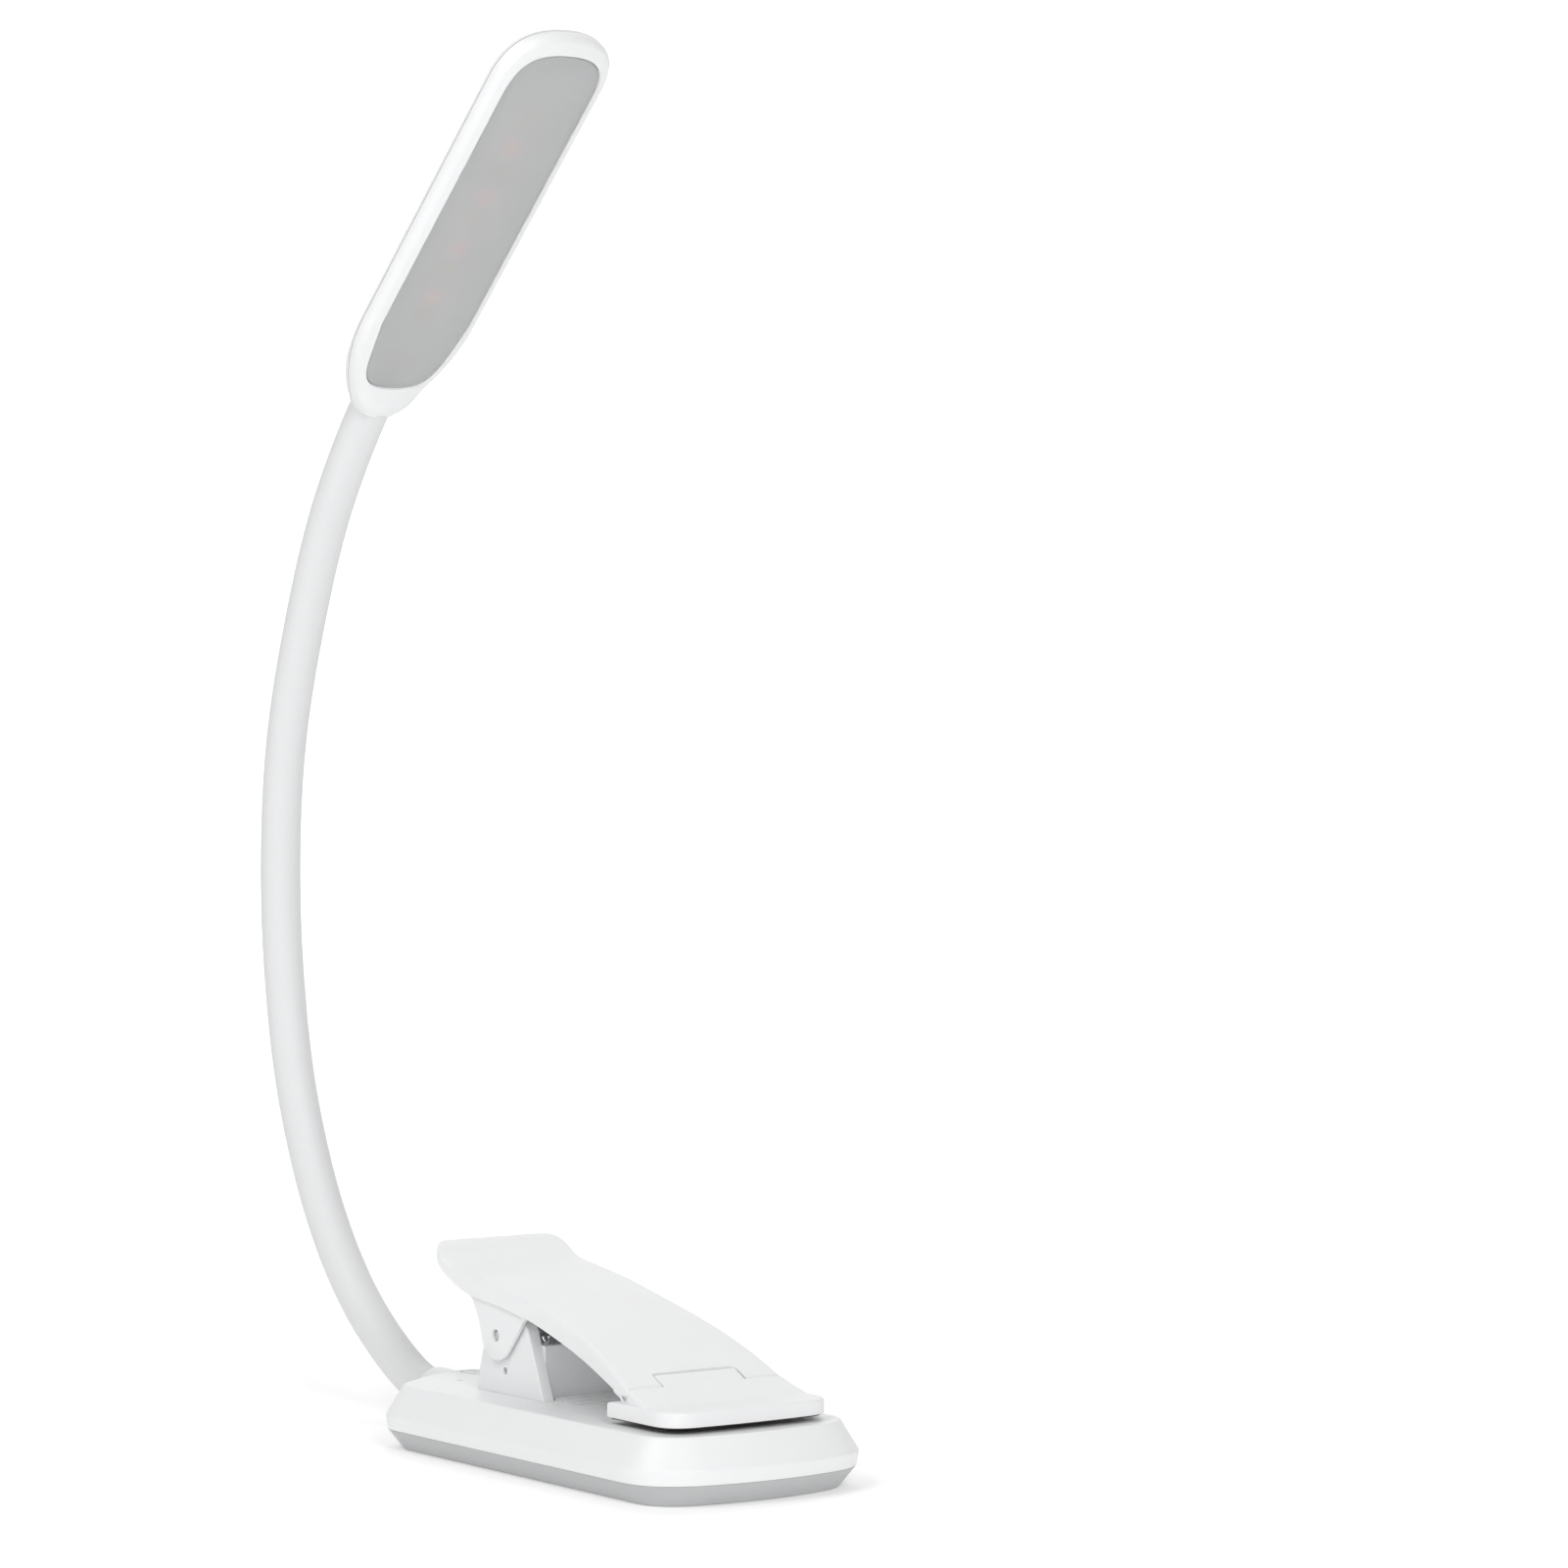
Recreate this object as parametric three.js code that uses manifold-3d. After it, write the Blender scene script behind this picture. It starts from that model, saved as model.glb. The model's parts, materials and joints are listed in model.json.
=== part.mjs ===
// Clip-on reading lamp: a flat rechargeable base, a sprung clip on top of it,
// a flexible neck and a slim lamp head with a row of LEDs behind a diffuser.
//
// Millimetres. X is across, +Y is towards the neck, +Z is up.
// The origin is on the underside of the base, at the middle of its body.

import * as THREE from 'three';
import { mergeVertices } from 'three/addons/utils/BufferGeometryUtils.js';
import Module from 'manifold-3d';

const wasm = await Module();
wasm.setup();

// ---------------------------------------------------------------- dimensions

const BASE = {
  halfWidth: 26,
  front: -50,
  collarEnd: 65.2,
  collarRadius: 5.4,
  rootHalf: 4.7,
  rootEnd: 63,
  chamferTop: 4.1,
  bandTop: 6.85,
  top: 12.6,
  underInset: 3.7,
  topInset: 3.6,
  wall: 1.7,
  floor: 1.6,
  seamGap: 0.3,
};
const CAVITY_REAR = 57;

const NECK = { radius: 4.2, bore: 1.75, core: 1.4, height: 6.5 };
const COLLAR_BORE = 4.4;
const JOINT_SLOPE = THREE.MathUtils.degToRad(13.5);
const MOVING_SEGMENTS = 6;
const ROOT_OUT = 7;
const TIP_OUT = 8;

const PIVOT = { y: 22.2, z: 23.9, pin: 1.1, hole: 1.2 };
const REST_PIN = { y: 20.7, z: 17.1, radius: 0.5, hole: 0.58 };
const POST = { outer: 13.1, inner: 10.5 };
const EAR = { outer: 14.3, inner: 13.45, radius: 4.9 };
const LEVER = { roof: 1.6, side: 1.35, rearHalf: 15.4, seamHalf: 17.7, seam: -26.6, rear: 44.9 };
const JAW = {
  pinY: -25.1,
  pinZ: 17.8,
  pin: 0.7,
  hole: 0.78,
  halfWidth: 18.9,
  front: -42.8,
  bottom: 14.1,
  top: 16.7,
  rear: -22,
  lipLine: -33.3,
  seam: -26.9,
  seamTop: 19.2,
};
const TONGUE = { half: 9.3, rear: -23.2, top: 20.95 };

const BUTTON = { y: 51, radius: 4.9, hole: 5.15, top: 12.4 };
const LIGHTS = { y: 41.8, spacing: 6.5, radius: 0.5, hole: 0.65 };
const USB = { y: 36, low: 4.2, high: 7.2, halfWidth: 4.5 };
const BOARD = { low: 3.1, high: 4.0 };
const GRIP = { half: 9.6, front: -38, rear: 9.7, pitch: 3.9, low: 12.05, rib: 13.0, ribWidth: 1.1 };
const COVER_SCREWS = [[-19, -36], [19, -36], [-19, 23], [19, 23]];

const HEAD = {
  length: 92.7,
  half: 14.4,
  neckHalf: 4.7,
  thickness: 5.6,
  seam: -3.2,
  wall: 1.3,
  front: 1.2,
  axis: -3.35,
  socketDepth: 3.2,
};
const LENS = { half: 11.65, low: 7, high: 88.4, top: -0.25, thickness: 1.15, gap: 0.15 };
const HEAD_PLACE = new THREE.Vector3(-8.05, 76.12, 204.46);
const HEAD_TILT = 41.05;
const HEAD_TWIST = 6.57;
const HEAD_ROLL = 3.28;
const LED_ROWS = [23.9, 28.6, 35.8, 40.9, 48.2, 53.3, 59.2, 65.2, 72.6];

// ----------------------------------------------------------------- materials

function plastic(color, roughness) {
  return new THREE.MeshStandardMaterial({ color, roughness, metalness: 0 });
}

function metal(color, roughness) {
  return new THREE.MeshStandardMaterial({ color, roughness, metalness: 1 });
}

const WHITE = plastic('#ecedee', 0.42);
const SOFT_WHITE = plastic('#e3e4e5', 0.6);
const KEY_WHITE = plastic('#e8e9ea', 0.45);
const FROSTED = plastic('#d3d3d5', 0.55);
const CLEAR = plastic('#dfe6e8', 0.2);
const RUBBER = plastic('#2a2727', 0.8);
const STEEL = metal('#b9bcc0', 0.3);
const DARK_STEEL = metal('#8a8d92', 0.4);
const BRASS = metal('#c0a468', 0.35);
const BOARD_GREEN = plastic('#1f6b46', 0.5);
const BOARD_WHITE = plastic('#f2f2ee', 0.5);
const CELL_WRAP = plastic('#4a6fb0', 0.4);
const SWITCH_BLACK = plastic('#232323', 0.5);
const WARM_LED = plastic('#f3dc8a', 0.4);
const ROSE_LED = plastic('#f0b9a8', 0.4);

// ------------------------------------------------------------- solid helpers

function solid(geometry) {
  const bare = geometry.clone();
  bare.deleteAttribute('normal');
  bare.deleteAttribute('uv');
  const merged = mergeVertices(bare, 1e-4);
  return new wasm.Manifold(new wasm.Mesh({
    numProp: 3,
    vertProperties: new Float32Array(merged.attributes.position.array),
    triVerts: new Uint32Array(merged.index.array),
  }));
}

function geometryOf(body) {
  const mesh = body.getMesh();
  const geometry = new THREE.BufferGeometry();
  geometry.setAttribute('position', new THREE.BufferAttribute(mesh.vertProperties, 3));
  geometry.setIndex(new THREE.BufferAttribute(mesh.triVerts, 1));
  geometry.computeVertexNormals();
  return geometry;
}

function joined(first, ...rest) {
  return rest.reduce((sum, next) => sum.add(next), first);
}

function cut(body, ...tools) {
  return tools.reduce((left, tool) => left.subtract(tool), body);
}

function shared(first, second) {
  return first.intersect(second);
}

function block(x0, x1, y0, y1, z0, z1) {
  const geometry = new THREE.BoxGeometry(x1 - x0, y1 - y0, z1 - z0);
  geometry.translate((x0 + x1) / 2, (y0 + y1) / 2, (z0 + z1) / 2);
  return solid(geometry);
}

// An outline in X and Y, extruded upwards from z0 to z1.
function prism(outline, z0, z1, curveSegments = 8) {
  const geometry = new THREE.ExtrudeGeometry(outline, {
    depth: z1 - z0, bevelEnabled: false, curveSegments,
  });
  geometry.translate(0, 0, z0);
  return solid(geometry);
}

// A side outline, drawn in Y and Z, extruded across from x0 to x1.
function across(outline, x0, x1, curveSegments = 8) {
  const geometry = new THREE.ExtrudeGeometry(outline, {
    depth: x1 - x0, bevelEnabled: false, curveSegments,
  });
  const turn = new THREE.Matrix4().makeBasis(
    new THREE.Vector3(0, 1, 0), new THREE.Vector3(0, 0, 1), new THREE.Vector3(1, 0, 0));
  geometry.applyMatrix4(turn);
  geometry.translate(x0, 0, 0);
  return solid(geometry);
}

// A round rod between two points.
function rod(from, to, radius, sides = 16) {
  const along = new THREE.Vector3().subVectors(to, from);
  const geometry = new THREE.CylinderGeometry(radius, radius, along.length(), sides);
  const turn = new THREE.Quaternion().setFromUnitVectors(
    new THREE.Vector3(0, 1, 0), along.clone().normalize());
  geometry.applyQuaternion(turn);
  geometry.translate((from.x + to.x) / 2, (from.y + to.y) / 2, (from.z + to.z) / 2);
  return solid(geometry);
}

function upright(x, y, z0, z1, radius, sides = 16) {
  return rod(new THREE.Vector3(x, y, z0), new THREE.Vector3(x, y, z1), radius, sides);
}

function crossRod(x0, x1, y, z, radius, sides = 16) {
  return rod(new THREE.Vector3(x0, y, z), new THREE.Vector3(x1, y, z), radius, sides);
}

// A turned body about +Z; the profile is a list of [radius, height].
function turned(profile, x, y, sides = 20) {
  const points = profile.map(([r, h]) => new THREE.Vector2(r, h));
  const geometry = new THREE.LatheGeometry(points, sides);
  geometry.rotateX(Math.PI / 2);
  geometry.translate(x, y, 0);
  return solid(geometry);
}

// Points of an outline moved inwards by a distance; the outline runs anticlockwise.
function inset(points, distance) {
  return points.map((here, i) => {
    const before = points[(i + points.length - 1) % points.length];
    const after = points[(i + 1) % points.length];
    const inOne = new THREE.Vector2(before.y - here.y, here.x - before.x).normalize();
    const inTwo = new THREE.Vector2(here.y - after.y, after.x - here.x).normalize();
    const middle = inOne.clone().add(inTwo);
    const reach = distance * 2 / middle.lengthSq();
    return here.clone().addScaledVector(middle, reach);
  });
}

// A closed body skinned over level rings that have the same number of points.
function stacked(rings) {
  const count = rings[0].points.length;
  const positions = rings.flatMap(({ points, z }) => points.flatMap((p) => [p.x, p.y, z]));
  const index = [];
  for (let level = 0; level + 1 < rings.length; level += 1) {
    for (let i = 0; i < count; i += 1) {
      const a = level * count + i;
      const b = level * count + (i + 1) % count;
      index.push(a, b, b + count, a, b + count, a + count);
    }
  }
  const top = (rings.length - 1) * count;
  for (const [a, b, c] of THREE.ShapeUtils.triangulateShape(rings[0].points, [])) {
    index.push(c, b, a);
  }
  for (const [a, b, c] of THREE.ShapeUtils.triangulateShape(rings.at(-1).points, [])) {
    index.push(top + a, top + b, top + c);
  }
  const geometry = new THREE.BufferGeometry();
  geometry.setAttribute('position', new THREE.Float32BufferAttribute(positions, 3));
  geometry.setIndex(index);
  return solid(geometry);
}

function polygon(corners) {
  return new THREE.Shape(corners.map(([x, y]) => new THREE.Vector2(x, y)));
}

function circle(x, y, radius) {
  return new THREE.Shape().absarc(x, y, radius, 0, Math.PI * 2, false);
}

// A half outline on the +X side, from the front to the rear, closed by its mirror image.
function mirrored(half) {
  const left = half.slice().reverse().filter((p) => p.x > 1e-6);
  return half.concat(left.map((p) => new THREE.Vector2(-p.x, p.y)));
}

const lamp = new THREE.Group();

function piece(name, body, material, parent = lamp) {
  const mesh = new THREE.Mesh(geometryOf(body), material);
  mesh.name = name;
  parent.add(mesh);
}

// ---------------------------------------------------------------------- base

// Plan of the base: shallow front arc, round front corners, straight sides,
// round shoulders and a hollow flare into the collar of the neck.
function basePlan() {
  const w = BASE.halfWidth;
  const half = new THREE.Path();
  half.moveTo(0, BASE.front);
  half.quadraticCurveTo(7, BASE.front, 14, BASE.front + 1.4);
  half.bezierCurveTo(21, BASE.front + 2.7, w, BASE.front + 6.8, w, -36);
  half.lineTo(w, 40.5);
  half.quadraticCurveTo(w, 46, 20.6, 49.4);
  half.lineTo(10.5, 55.9);
  half.quadraticCurveTo(BASE.rootHalf, 58.6, BASE.rootHalf, BASE.rootEnd);
  return mirrored(half.getPoints(5));
}

function roomPlan(clearance) {
  return inset(basePlan(), BASE.wall + clearance);
}

function roomOnly(body) {
  return shared(body, block(-30, 30, -60, CAVITY_REAR, -1, 20));
}

function collarRod(radius, y0, y1) {
  return rod(new THREE.Vector3(0, y0, NECK.height), new THREE.Vector3(0, y1, NECK.height), radius, 28);
}

function baseBody() {
  const plan = basePlan();
  const body = stacked([
    { points: inset(plan, BASE.underInset), z: 0 },
    { points: plan, z: BASE.chamferTop },
    { points: plan, z: BASE.bandTop },
    { points: inset(plan, BASE.topInset), z: BASE.top },
  ]);
  const fading = polygon([
    [-60, -1], [54, -1], [54, 0], [70, 2.6], [70, 10.6], [54, BASE.top], [54, 20], [-60, 20]]);
  const collar = collarRod(BASE.collarRadius, 50, BASE.collarEnd);
  return joined(shared(body, across(fading, -40, 40)), collar);
}

const WIDE = 200;

function above(z) {
  return block(-WIDE, WIDE, -WIDE, WIDE, z, WIDE);
}

function below(z) {
  return block(-WIDE, WIDE, -WIDE, WIDE, -WIDE, z);
}

function usbOpening() {
  const y0 = USB.y - USB.halfWidth - 0.3;
  const y1 = USB.y + USB.halfWidth + 0.3;
  return block(15, 30, y0, y1, USB.low - 0.2, USB.high + 0.3);
}

function postOutline() {
  const shape = new THREE.Shape();
  shape.moveTo(7.6, 9.4);
  shape.lineTo(30.4, 9.4);
  shape.lineTo(30.4, 13.4);
  shape.lineTo(28.6, 20.6);
  shape.absarc(PIVOT.y, PIVOT.z, 5.6, -0.3, 1.1, false);
  shape.lineTo(14.4, 27);
  shape.lineTo(12.9, 25.4);
  shape.lineTo(7.6, 12.6);
  return shape;
}

function postSlots() {
  return [-1, 1].map((side) => {
    const x0 = side < 0 ? -POST.outer - 0.12 : POST.inner - 0.12;
    return block(x0, x0 + POST.outer - POST.inner + 0.24, 7.4, 30.6, 9, 14);
  });
}

function baseTopShell() {
  const room = roomOnly(stacked([
    { points: roomPlan(0), z: 2 },
    { points: roomPlan(0), z: BASE.bandTop },
    { points: roomPlan(2.6), z: BASE.top - BASE.wall },
  ]));
  const bosses = COVER_SCREWS.map(([x, y]) => upright(x, y, BASE.chamferTop + 1, 11.2, 3));
  const pilots = COVER_SCREWS.map(([x, y]) => upright(x, y, 2, 8.9, 1.15));
  const holes = lightPlaces().map((x) => upright(x, LIGHTS.y, 8, 14, LIGHTS.hole, 12));
  const tray = block(-GRIP.half - 0.15, GRIP.half + 0.15, GRIP.front - 0.15, GRIP.rear + 0.15, 11.9, 14);
  const shell = cut(shared(baseBody(), above(BASE.chamferTop + BASE.seamGap / 2)), room);
  return cut(
    joined(shell, ...bosses),
    ...pilots,
    ...holes,
    ...postSlots(),
    tray,
    upright(0, BUTTON.y, 8, 14, BUTTON.hole, 32),
    collarRod(COLLAR_BORE, 54, 70),
    usbOpening());
}

function baseBottomCover() {
  const room = roomOnly(stacked([
    { points: roomPlan(1.6), z: BASE.floor },
    { points: roomPlan(0.2), z: 8 },
  ]));
  const cover = cut(shared(baseBody(), below(BASE.chamferTop - BASE.seamGap / 2)), room);
  const bosses = COVER_SCREWS.map(([x, y]) => upright(x, y, 0.4, 3.6, 3.6));
  const ways = COVER_SCREWS.map(([x, y]) => upright(x, y, -1, 5, 1.3));
  const seats = COVER_SCREWS.map(([x, y]) => upright(x, y, -1, 2.1, 2.6));
  return cut(joined(cover, ...bosses), ...ways, ...seats, collarRod(COLLAR_BORE, 54, 70));
}

function coverScrew([x, y]) {
  return turned([[0, 0.3], [2.2, 0.3], [2.3, 0.6], [2.3, 1.8], [0.95, 1.8], [0.95, 8.6], [0, 8.6]], x, y, 10);
}

function lightPlaces() {
  return [-1.5, -0.5, 0.5, 1.5].map((step) => step * LIGHTS.spacing);
}

function gripPad() {
  const pad = block(-GRIP.half, GRIP.half, GRIP.front, GRIP.rear, GRIP.low, BASE.top);
  const ribs = [];
  for (let y = GRIP.rear; y > GRIP.front + GRIP.ribWidth; y -= GRIP.pitch) {
    ribs.push(block(-GRIP.half, GRIP.half, y - GRIP.ribWidth, y, GRIP.low, GRIP.rib));
  }
  return joined(pad, ...ribs);
}

function mainBoard() {
  const outline = polygon([
    [-15, 16], [15, 16], [15, 27], [21.5, 34.5], [21.5, 44], [11, 48.5], [5, 54],
    [-5, 54], [-11, 48.5], [-15, 44]]);
  const chips = lightPlaces().map((x) => block(x - 1, x + 1, LIGHTS.y - 0.6, LIGHTS.y + 0.6, BOARD.low, 4.7));
  const charger = block(-8, -3, 30, 35, BOARD.low, 5.2);
  const driver = block(2, 6, 28, 32, BOARD.low, 4.9);
  return joined(prism(outline, BOARD.low, BOARD.high), ...chips, charger, driver);
}

function usbSocket() {
  const { y, halfWidth } = USB;
  const shell = block(18.5, 25.7, y - halfWidth, y + halfWidth, USB.low, USB.high - 0.1);
  const mouth = block(19.5, 27, y - halfWidth + 0.35, y + halfWidth - 0.35, USB.low + 0.35, USB.high - 0.45);
  const tongue = block(19, 24.5, y - 3.3, y + 3.3, 5.3, 6.0);
  return joined(cut(shell, mouth), tongue);
}

function lightPipe(x) {
  return upright(x, LIGHTS.y, 4.9, 12.45, LIGHTS.radius, 10);
}

function switchBody() {
  const body = block(-3, 3, BUTTON.y - 3, BUTTON.y + 3, BOARD.high + 0.1, 8.1);
  return cut(body, upright(0, BUTTON.y, 6.8, 9, 1.75));
}

function switchPlunger() {
  return upright(0, BUTTON.y, 7.3, 9.75, 1.5);
}

// The mark on the key is a plain upright cell with a spark inside it, cut as thin grooves.
function cellMark() {
  const line = 0.32;
  const frame = polygon([[-1.7, -2.3], [1.7, -2.3], [1.7, 3.3], [-1.7, 3.3]]);
  const hole = new THREE.Path();
  const [w, low, high] = [1.7 - line, -2.3 + line, 3.3 - line];
  hole.setFromPoints([[-w, low], [-w, high], [w, high], [w, low]].map(([x, y]) => new THREE.Vector2(x, y)));
  frame.holes.push(hole);
  const nub = polygon([[-0.9, -3], [0.9, -3], [0.9, -2.7], [-0.9, -2.7]]);
  const spark = polygon([
    [-1.1, 0.3], [-0.5, 2.0], [-0.2, 2.0], [0.15, 1.15], [0.95, 1.15], [0.95, 0.9],
    [-0.05, 0.9], [-0.35, 1.5], [-0.8, 0.3]]);
  return [frame, nub, spark];
}

function buttonCap() {
  const { y, radius, top } = BUTTON;
  const cap = turned([[0, 9.9], [5.7, 9.9], [5.7, 10.7], [radius, 10.7], [radius, top - 0.2],
    [radius - 0.2, top], [0, top]], 0, y, 40);
  const grooves = cellMark().map((shape) => prism(shape, top - 0.25, top + 1).translate(0, y, 0));
  return cut(cap, ...grooves);
}

function batteryCell() {
  const outline = new THREE.Shape();
  outline.absarc(-12.4, 3.4, 2.6, Math.PI / 2, Math.PI, false);
  outline.absarc(-12.4, -35.4, 2.6, Math.PI, Math.PI * 1.5, false);
  outline.absarc(12.4, -35.4, 2.6, Math.PI * 1.5, Math.PI * 2, false);
  outline.absarc(12.4, 3.4, 2.6, 0, Math.PI / 2, false);
  return prism(outline, 1.9, 7.6, 4);
}

function neckAnchor() {
  return cut(collarRod(COLLAR_BORE - 0.15, 57.6, 60.2), collarRod(NECK.bore, 50, 70));
}

// ---------------------------------------------------------------------- clip

// Two cheeks joined by a foot under the top shell and a low wall between them.
function clipBracket() {
  const cheeks = [-1, 1].map((side) => {
    const [x0, x1] = side < 0 ? [-POST.outer, -POST.inner] : [POST.inner, POST.outer];
    return across(postOutline(), x0, x1, 10);
  });
  const foot = block(-POST.outer, POST.outer, 8, 30, 9.4, 10.6);
  const wall = block(-POST.inner - 0.2, POST.inner + 0.2, 10.4, 11.4, BASE.top + 0.12, 22.8);
  return cut(
    joined(foot, ...cheeks, wall),
    crossRod(-20, 20, PIVOT.y, PIVOT.z, PIVOT.hole),
    crossRod(-20, 20, REST_PIN.y, REST_PIN.z, REST_PIN.hole, 12));
}

// Line of the lever's top, from the rear lip down to the seam with the jaw.
function leverTop() {
  return [
    [44.9, 40.9], [43.2, 40.3], [40.3, 38.2], [37.6, 36.6], [34.8, 35.8], [30.5, 35.2], [23.6, 34.25],
    [16.8, 33.1], [10.2, 31.75], [3.3, 30.15], [-3.7, 28.4], [-10.8, 26.25], [-18.1, 23.5],
    [-22.8, 21.3], [LEVER.seam, 19.35]];
}

function leverBottom() {
  return [
    [-23.4, 17.8], [-20.3, 18.9], [-16.5, 20.2], [-10.8, 22.1], [-3.7, 24.2], [3.3, 26.1],
    [10.1, 27.8], [16.7, 29], [23.5, 30], [29.8, 30.7], [33.9, 31.8], [37.6, 33.4],
    [41.2, 35.8], [43.4, 38.2], [44.9, 39.4]];
}

function smoothSide(points) {
  const line = points.map(([y, z]) => new THREE.Vector2(y, z));
  return new THREE.SplineCurve(line).getPoints(points.length + 4);
}

function leverSide() {
  const top = smoothSide(leverTop());
  const bottom = smoothSide(leverBottom());
  return new THREE.Shape([...top, new THREE.Vector2(LEVER.seam, 17.9), ...bottom]);
}

function leverPlan(margin) {
  const half = new THREE.Path();
  const rear = LEVER.rear - margin;
  const corner = 4.5;
  half.moveTo(0, -40);
  half.lineTo(LEVER.seamHalf + 3 - margin, -40);
  half.lineTo(LEVER.seamHalf - margin, LEVER.seam);
  half.bezierCurveTo(16.2 - margin, -14, 14.8 - margin, -4, 14.8 - margin, 12);
  half.lineTo(LEVER.rearHalf - margin, rear - corner);
  half.quadraticCurveTo(LEVER.rearHalf - margin, rear, LEVER.rearHalf - margin - corner, rear);
  half.lineTo(0, rear);
  return new THREE.Shape(mirrored(half.getPoints(8)));
}

function leverHollow() {
  const top = smoothSide(leverTop().filter(([y]) => y < 34.6));
  const lowered = top.map((p) => new THREE.Vector2(p.x, p.y - LEVER.roof));
  const side = new THREE.Shape([
    ...lowered, new THREE.Vector2(-30, 16.2), new THREE.Vector2(-30, 5), new THREE.Vector2(32, 5)]);
  return shared(across(side, -30, 30), prism(leverPlan(LEVER.side), 0, 60));
}

function earOutline() {
  const shape = new THREE.Shape();
  shape.moveTo(11.2, 28);
  shape.lineTo(13.9, 26.2);
  shape.absarc(PIVOT.y, PIVOT.z, EAR.radius, -2.45, -0.35, false);
  shape.quadraticCurveTo(27.2, 26, 30.4, 30.6);
  shape.lineTo(30.4, 32.6);
  shape.lineTo(11.2, 30.4);
  return shape;
}

function lever() {
  const shell = cut(
    shared(across(leverSide(), -30, 30), prism(leverPlan(0), 0, 60)),
    leverHollow());
  const pairs = [[-EAR.outer, -EAR.inner], [EAR.inner, EAR.outer]];
  const ears = pairs.map(([x0, x1]) => across(earOutline(), x0, x1, 10));
  const lugs = [[-17.2, -15.9], [15.9, 17.2]].map(([x0, x1]) => joined(
    across(circle(JAW.pinY, JAW.pinZ, 1.5), x0, x1, 12),
    across(polygon([[-26.6, 17.8], [-22, 18.2], [-22, 20.4], [-26.6, 18.6]]), x0, x1)));
  const half = TONGUE.half + 0.35;
  const notch = block(-half, half, -40, TONGUE.rear + 0.35, 10, 40);
  return cut(
    joined(cut(shell, notch), ...ears, ...lugs),
    crossRod(-20, 20, PIVOT.y, PIVOT.z, PIVOT.hole),
    crossRod(-20, 20, JAW.pinY, JAW.pinZ, JAW.hole, 12));
}

function jawPlan() {
  const w = JAW.halfWidth;
  const half = new THREE.Path();
  half.moveTo(0, JAW.front);
  half.lineTo(w - 6, JAW.front + 0.5);
  half.quadraticCurveTo(w, JAW.front + 1, w, JAW.front + 6.5);
  half.lineTo(w, JAW.rear);
  half.lineTo(0, JAW.rear);
  return new THREE.Shape(mirrored(half.getPoints(8)));
}

// The slope narrows from the lip's width to the lever's width at the seam.
function slopePlan() {
  return new THREE.Shape(mirrored([
    new THREE.Vector2(0, -60),
    new THREE.Vector2(JAW.halfWidth, -60),
    new THREE.Vector2(JAW.halfWidth, JAW.lipLine),
    new THREE.Vector2(LEVER.seamHalf + 0.1, JAW.seam),
    new THREE.Vector2(0, JAW.seam)]));
}

function tonguePlan() {
  const { half, rear } = TONGUE;
  const path = new THREE.Path();
  path.moveTo(0, -30);
  path.lineTo(half, -30);
  path.lineTo(half, rear - 1);
  path.quadraticCurveTo(half, rear, half - 1, rear);
  path.lineTo(0, rear);
  return new THREE.Shape(mirrored(path.getPoints(4)));
}

function jawPlate() {
  const { front, bottom, top, rear, seam, seamTop, lipLine, pinY, pinZ } = JAW;
  const plate = polygon([
    [front + 0.3, bottom], [rear, bottom], [rear, top - 0.3], [rear - 0.3, top],
    [front + 0.9, top - 0.3], [front, top - 0.9], [front, bottom + 0.3]]);
  const slope = polygon([[lipLine - 2, top - 1], [seam, top - 1], [seam, seamTop], [lipLine, top]]);
  const tongue = polygon([
    [seam - 1, pinZ], [TONGUE.rear, pinZ], [TONGUE.rear, TONGUE.top], [seam, seamTop], [seam - 1, 18.7]]);
  const knuckle = joined(
    across(tongue, -12, 12),
    across(circle(pinY, pinZ, 1.7), -12, 12, 14),
    across(polygon([[seam, 15], [-23.6, 15], [-23.6, 18], [seam, 18]]), -12, 12));
  const lugRoom = [[-17.5, -15.6], [15.6, 17.5]].map(([x0, x1]) => block(x0, x1, seam, rear + 1, 15.7, 30));
  const body = joined(
    shared(across(plate, -30, 30), prism(jawPlan(), 0, 30)),
    shared(across(slope, -30, 30), prism(slopePlan(), 0, 30)),
    shared(knuckle, prism(tonguePlan(), 0, 30)));
  return cut(body, ...lugRoom, crossRod(-20, 20, pinY, pinZ, JAW.hole, 12));
}

function jawPad() {
  const outline = jawPlan().getPoints(8);
  const points = inset(outline.slice(0, -1), 0.6);
  return prism(new THREE.Shape(points), 13.45, JAW.bottom - 0.12);
}

// Torsion spring: a close coil round the pivot pin, one leg under the lever's
// roof and one leg down onto the base behind the cheeks.
function clipSpring() {
  const wire = 0.45;
  const coil = 2.6;
  const turns = 6;
  const perTurn = 8;
  const length = 8;
  const points = [new THREE.Vector3(-length / 2 - 0.6, 30.2, 13.6)];
  for (let i = 0; i <= turns * perTurn; i += 1) {
    const angle = -0.9 + i / perTurn * Math.PI * 2;
    const x = -length / 2 + length * i / (turns * perTurn);
    points.push(new THREE.Vector3(x, PIVOT.y + coil * Math.cos(angle), PIVOT.z + coil * Math.sin(angle)));
  }
  points.push(new THREE.Vector3(length / 2 + 0.6, 30.4, 29.6));
  const path = new THREE.CatmullRomCurve3(points, false, 'centripetal');
  return solid(new THREE.ExtrudeGeometry(circle(0, 0, wire), {
    steps: turns * perTurn + 14, extrudePath: path, curveSegments: 3,
  }));
}

// ---------------------------------------------------------------------- neck

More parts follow.
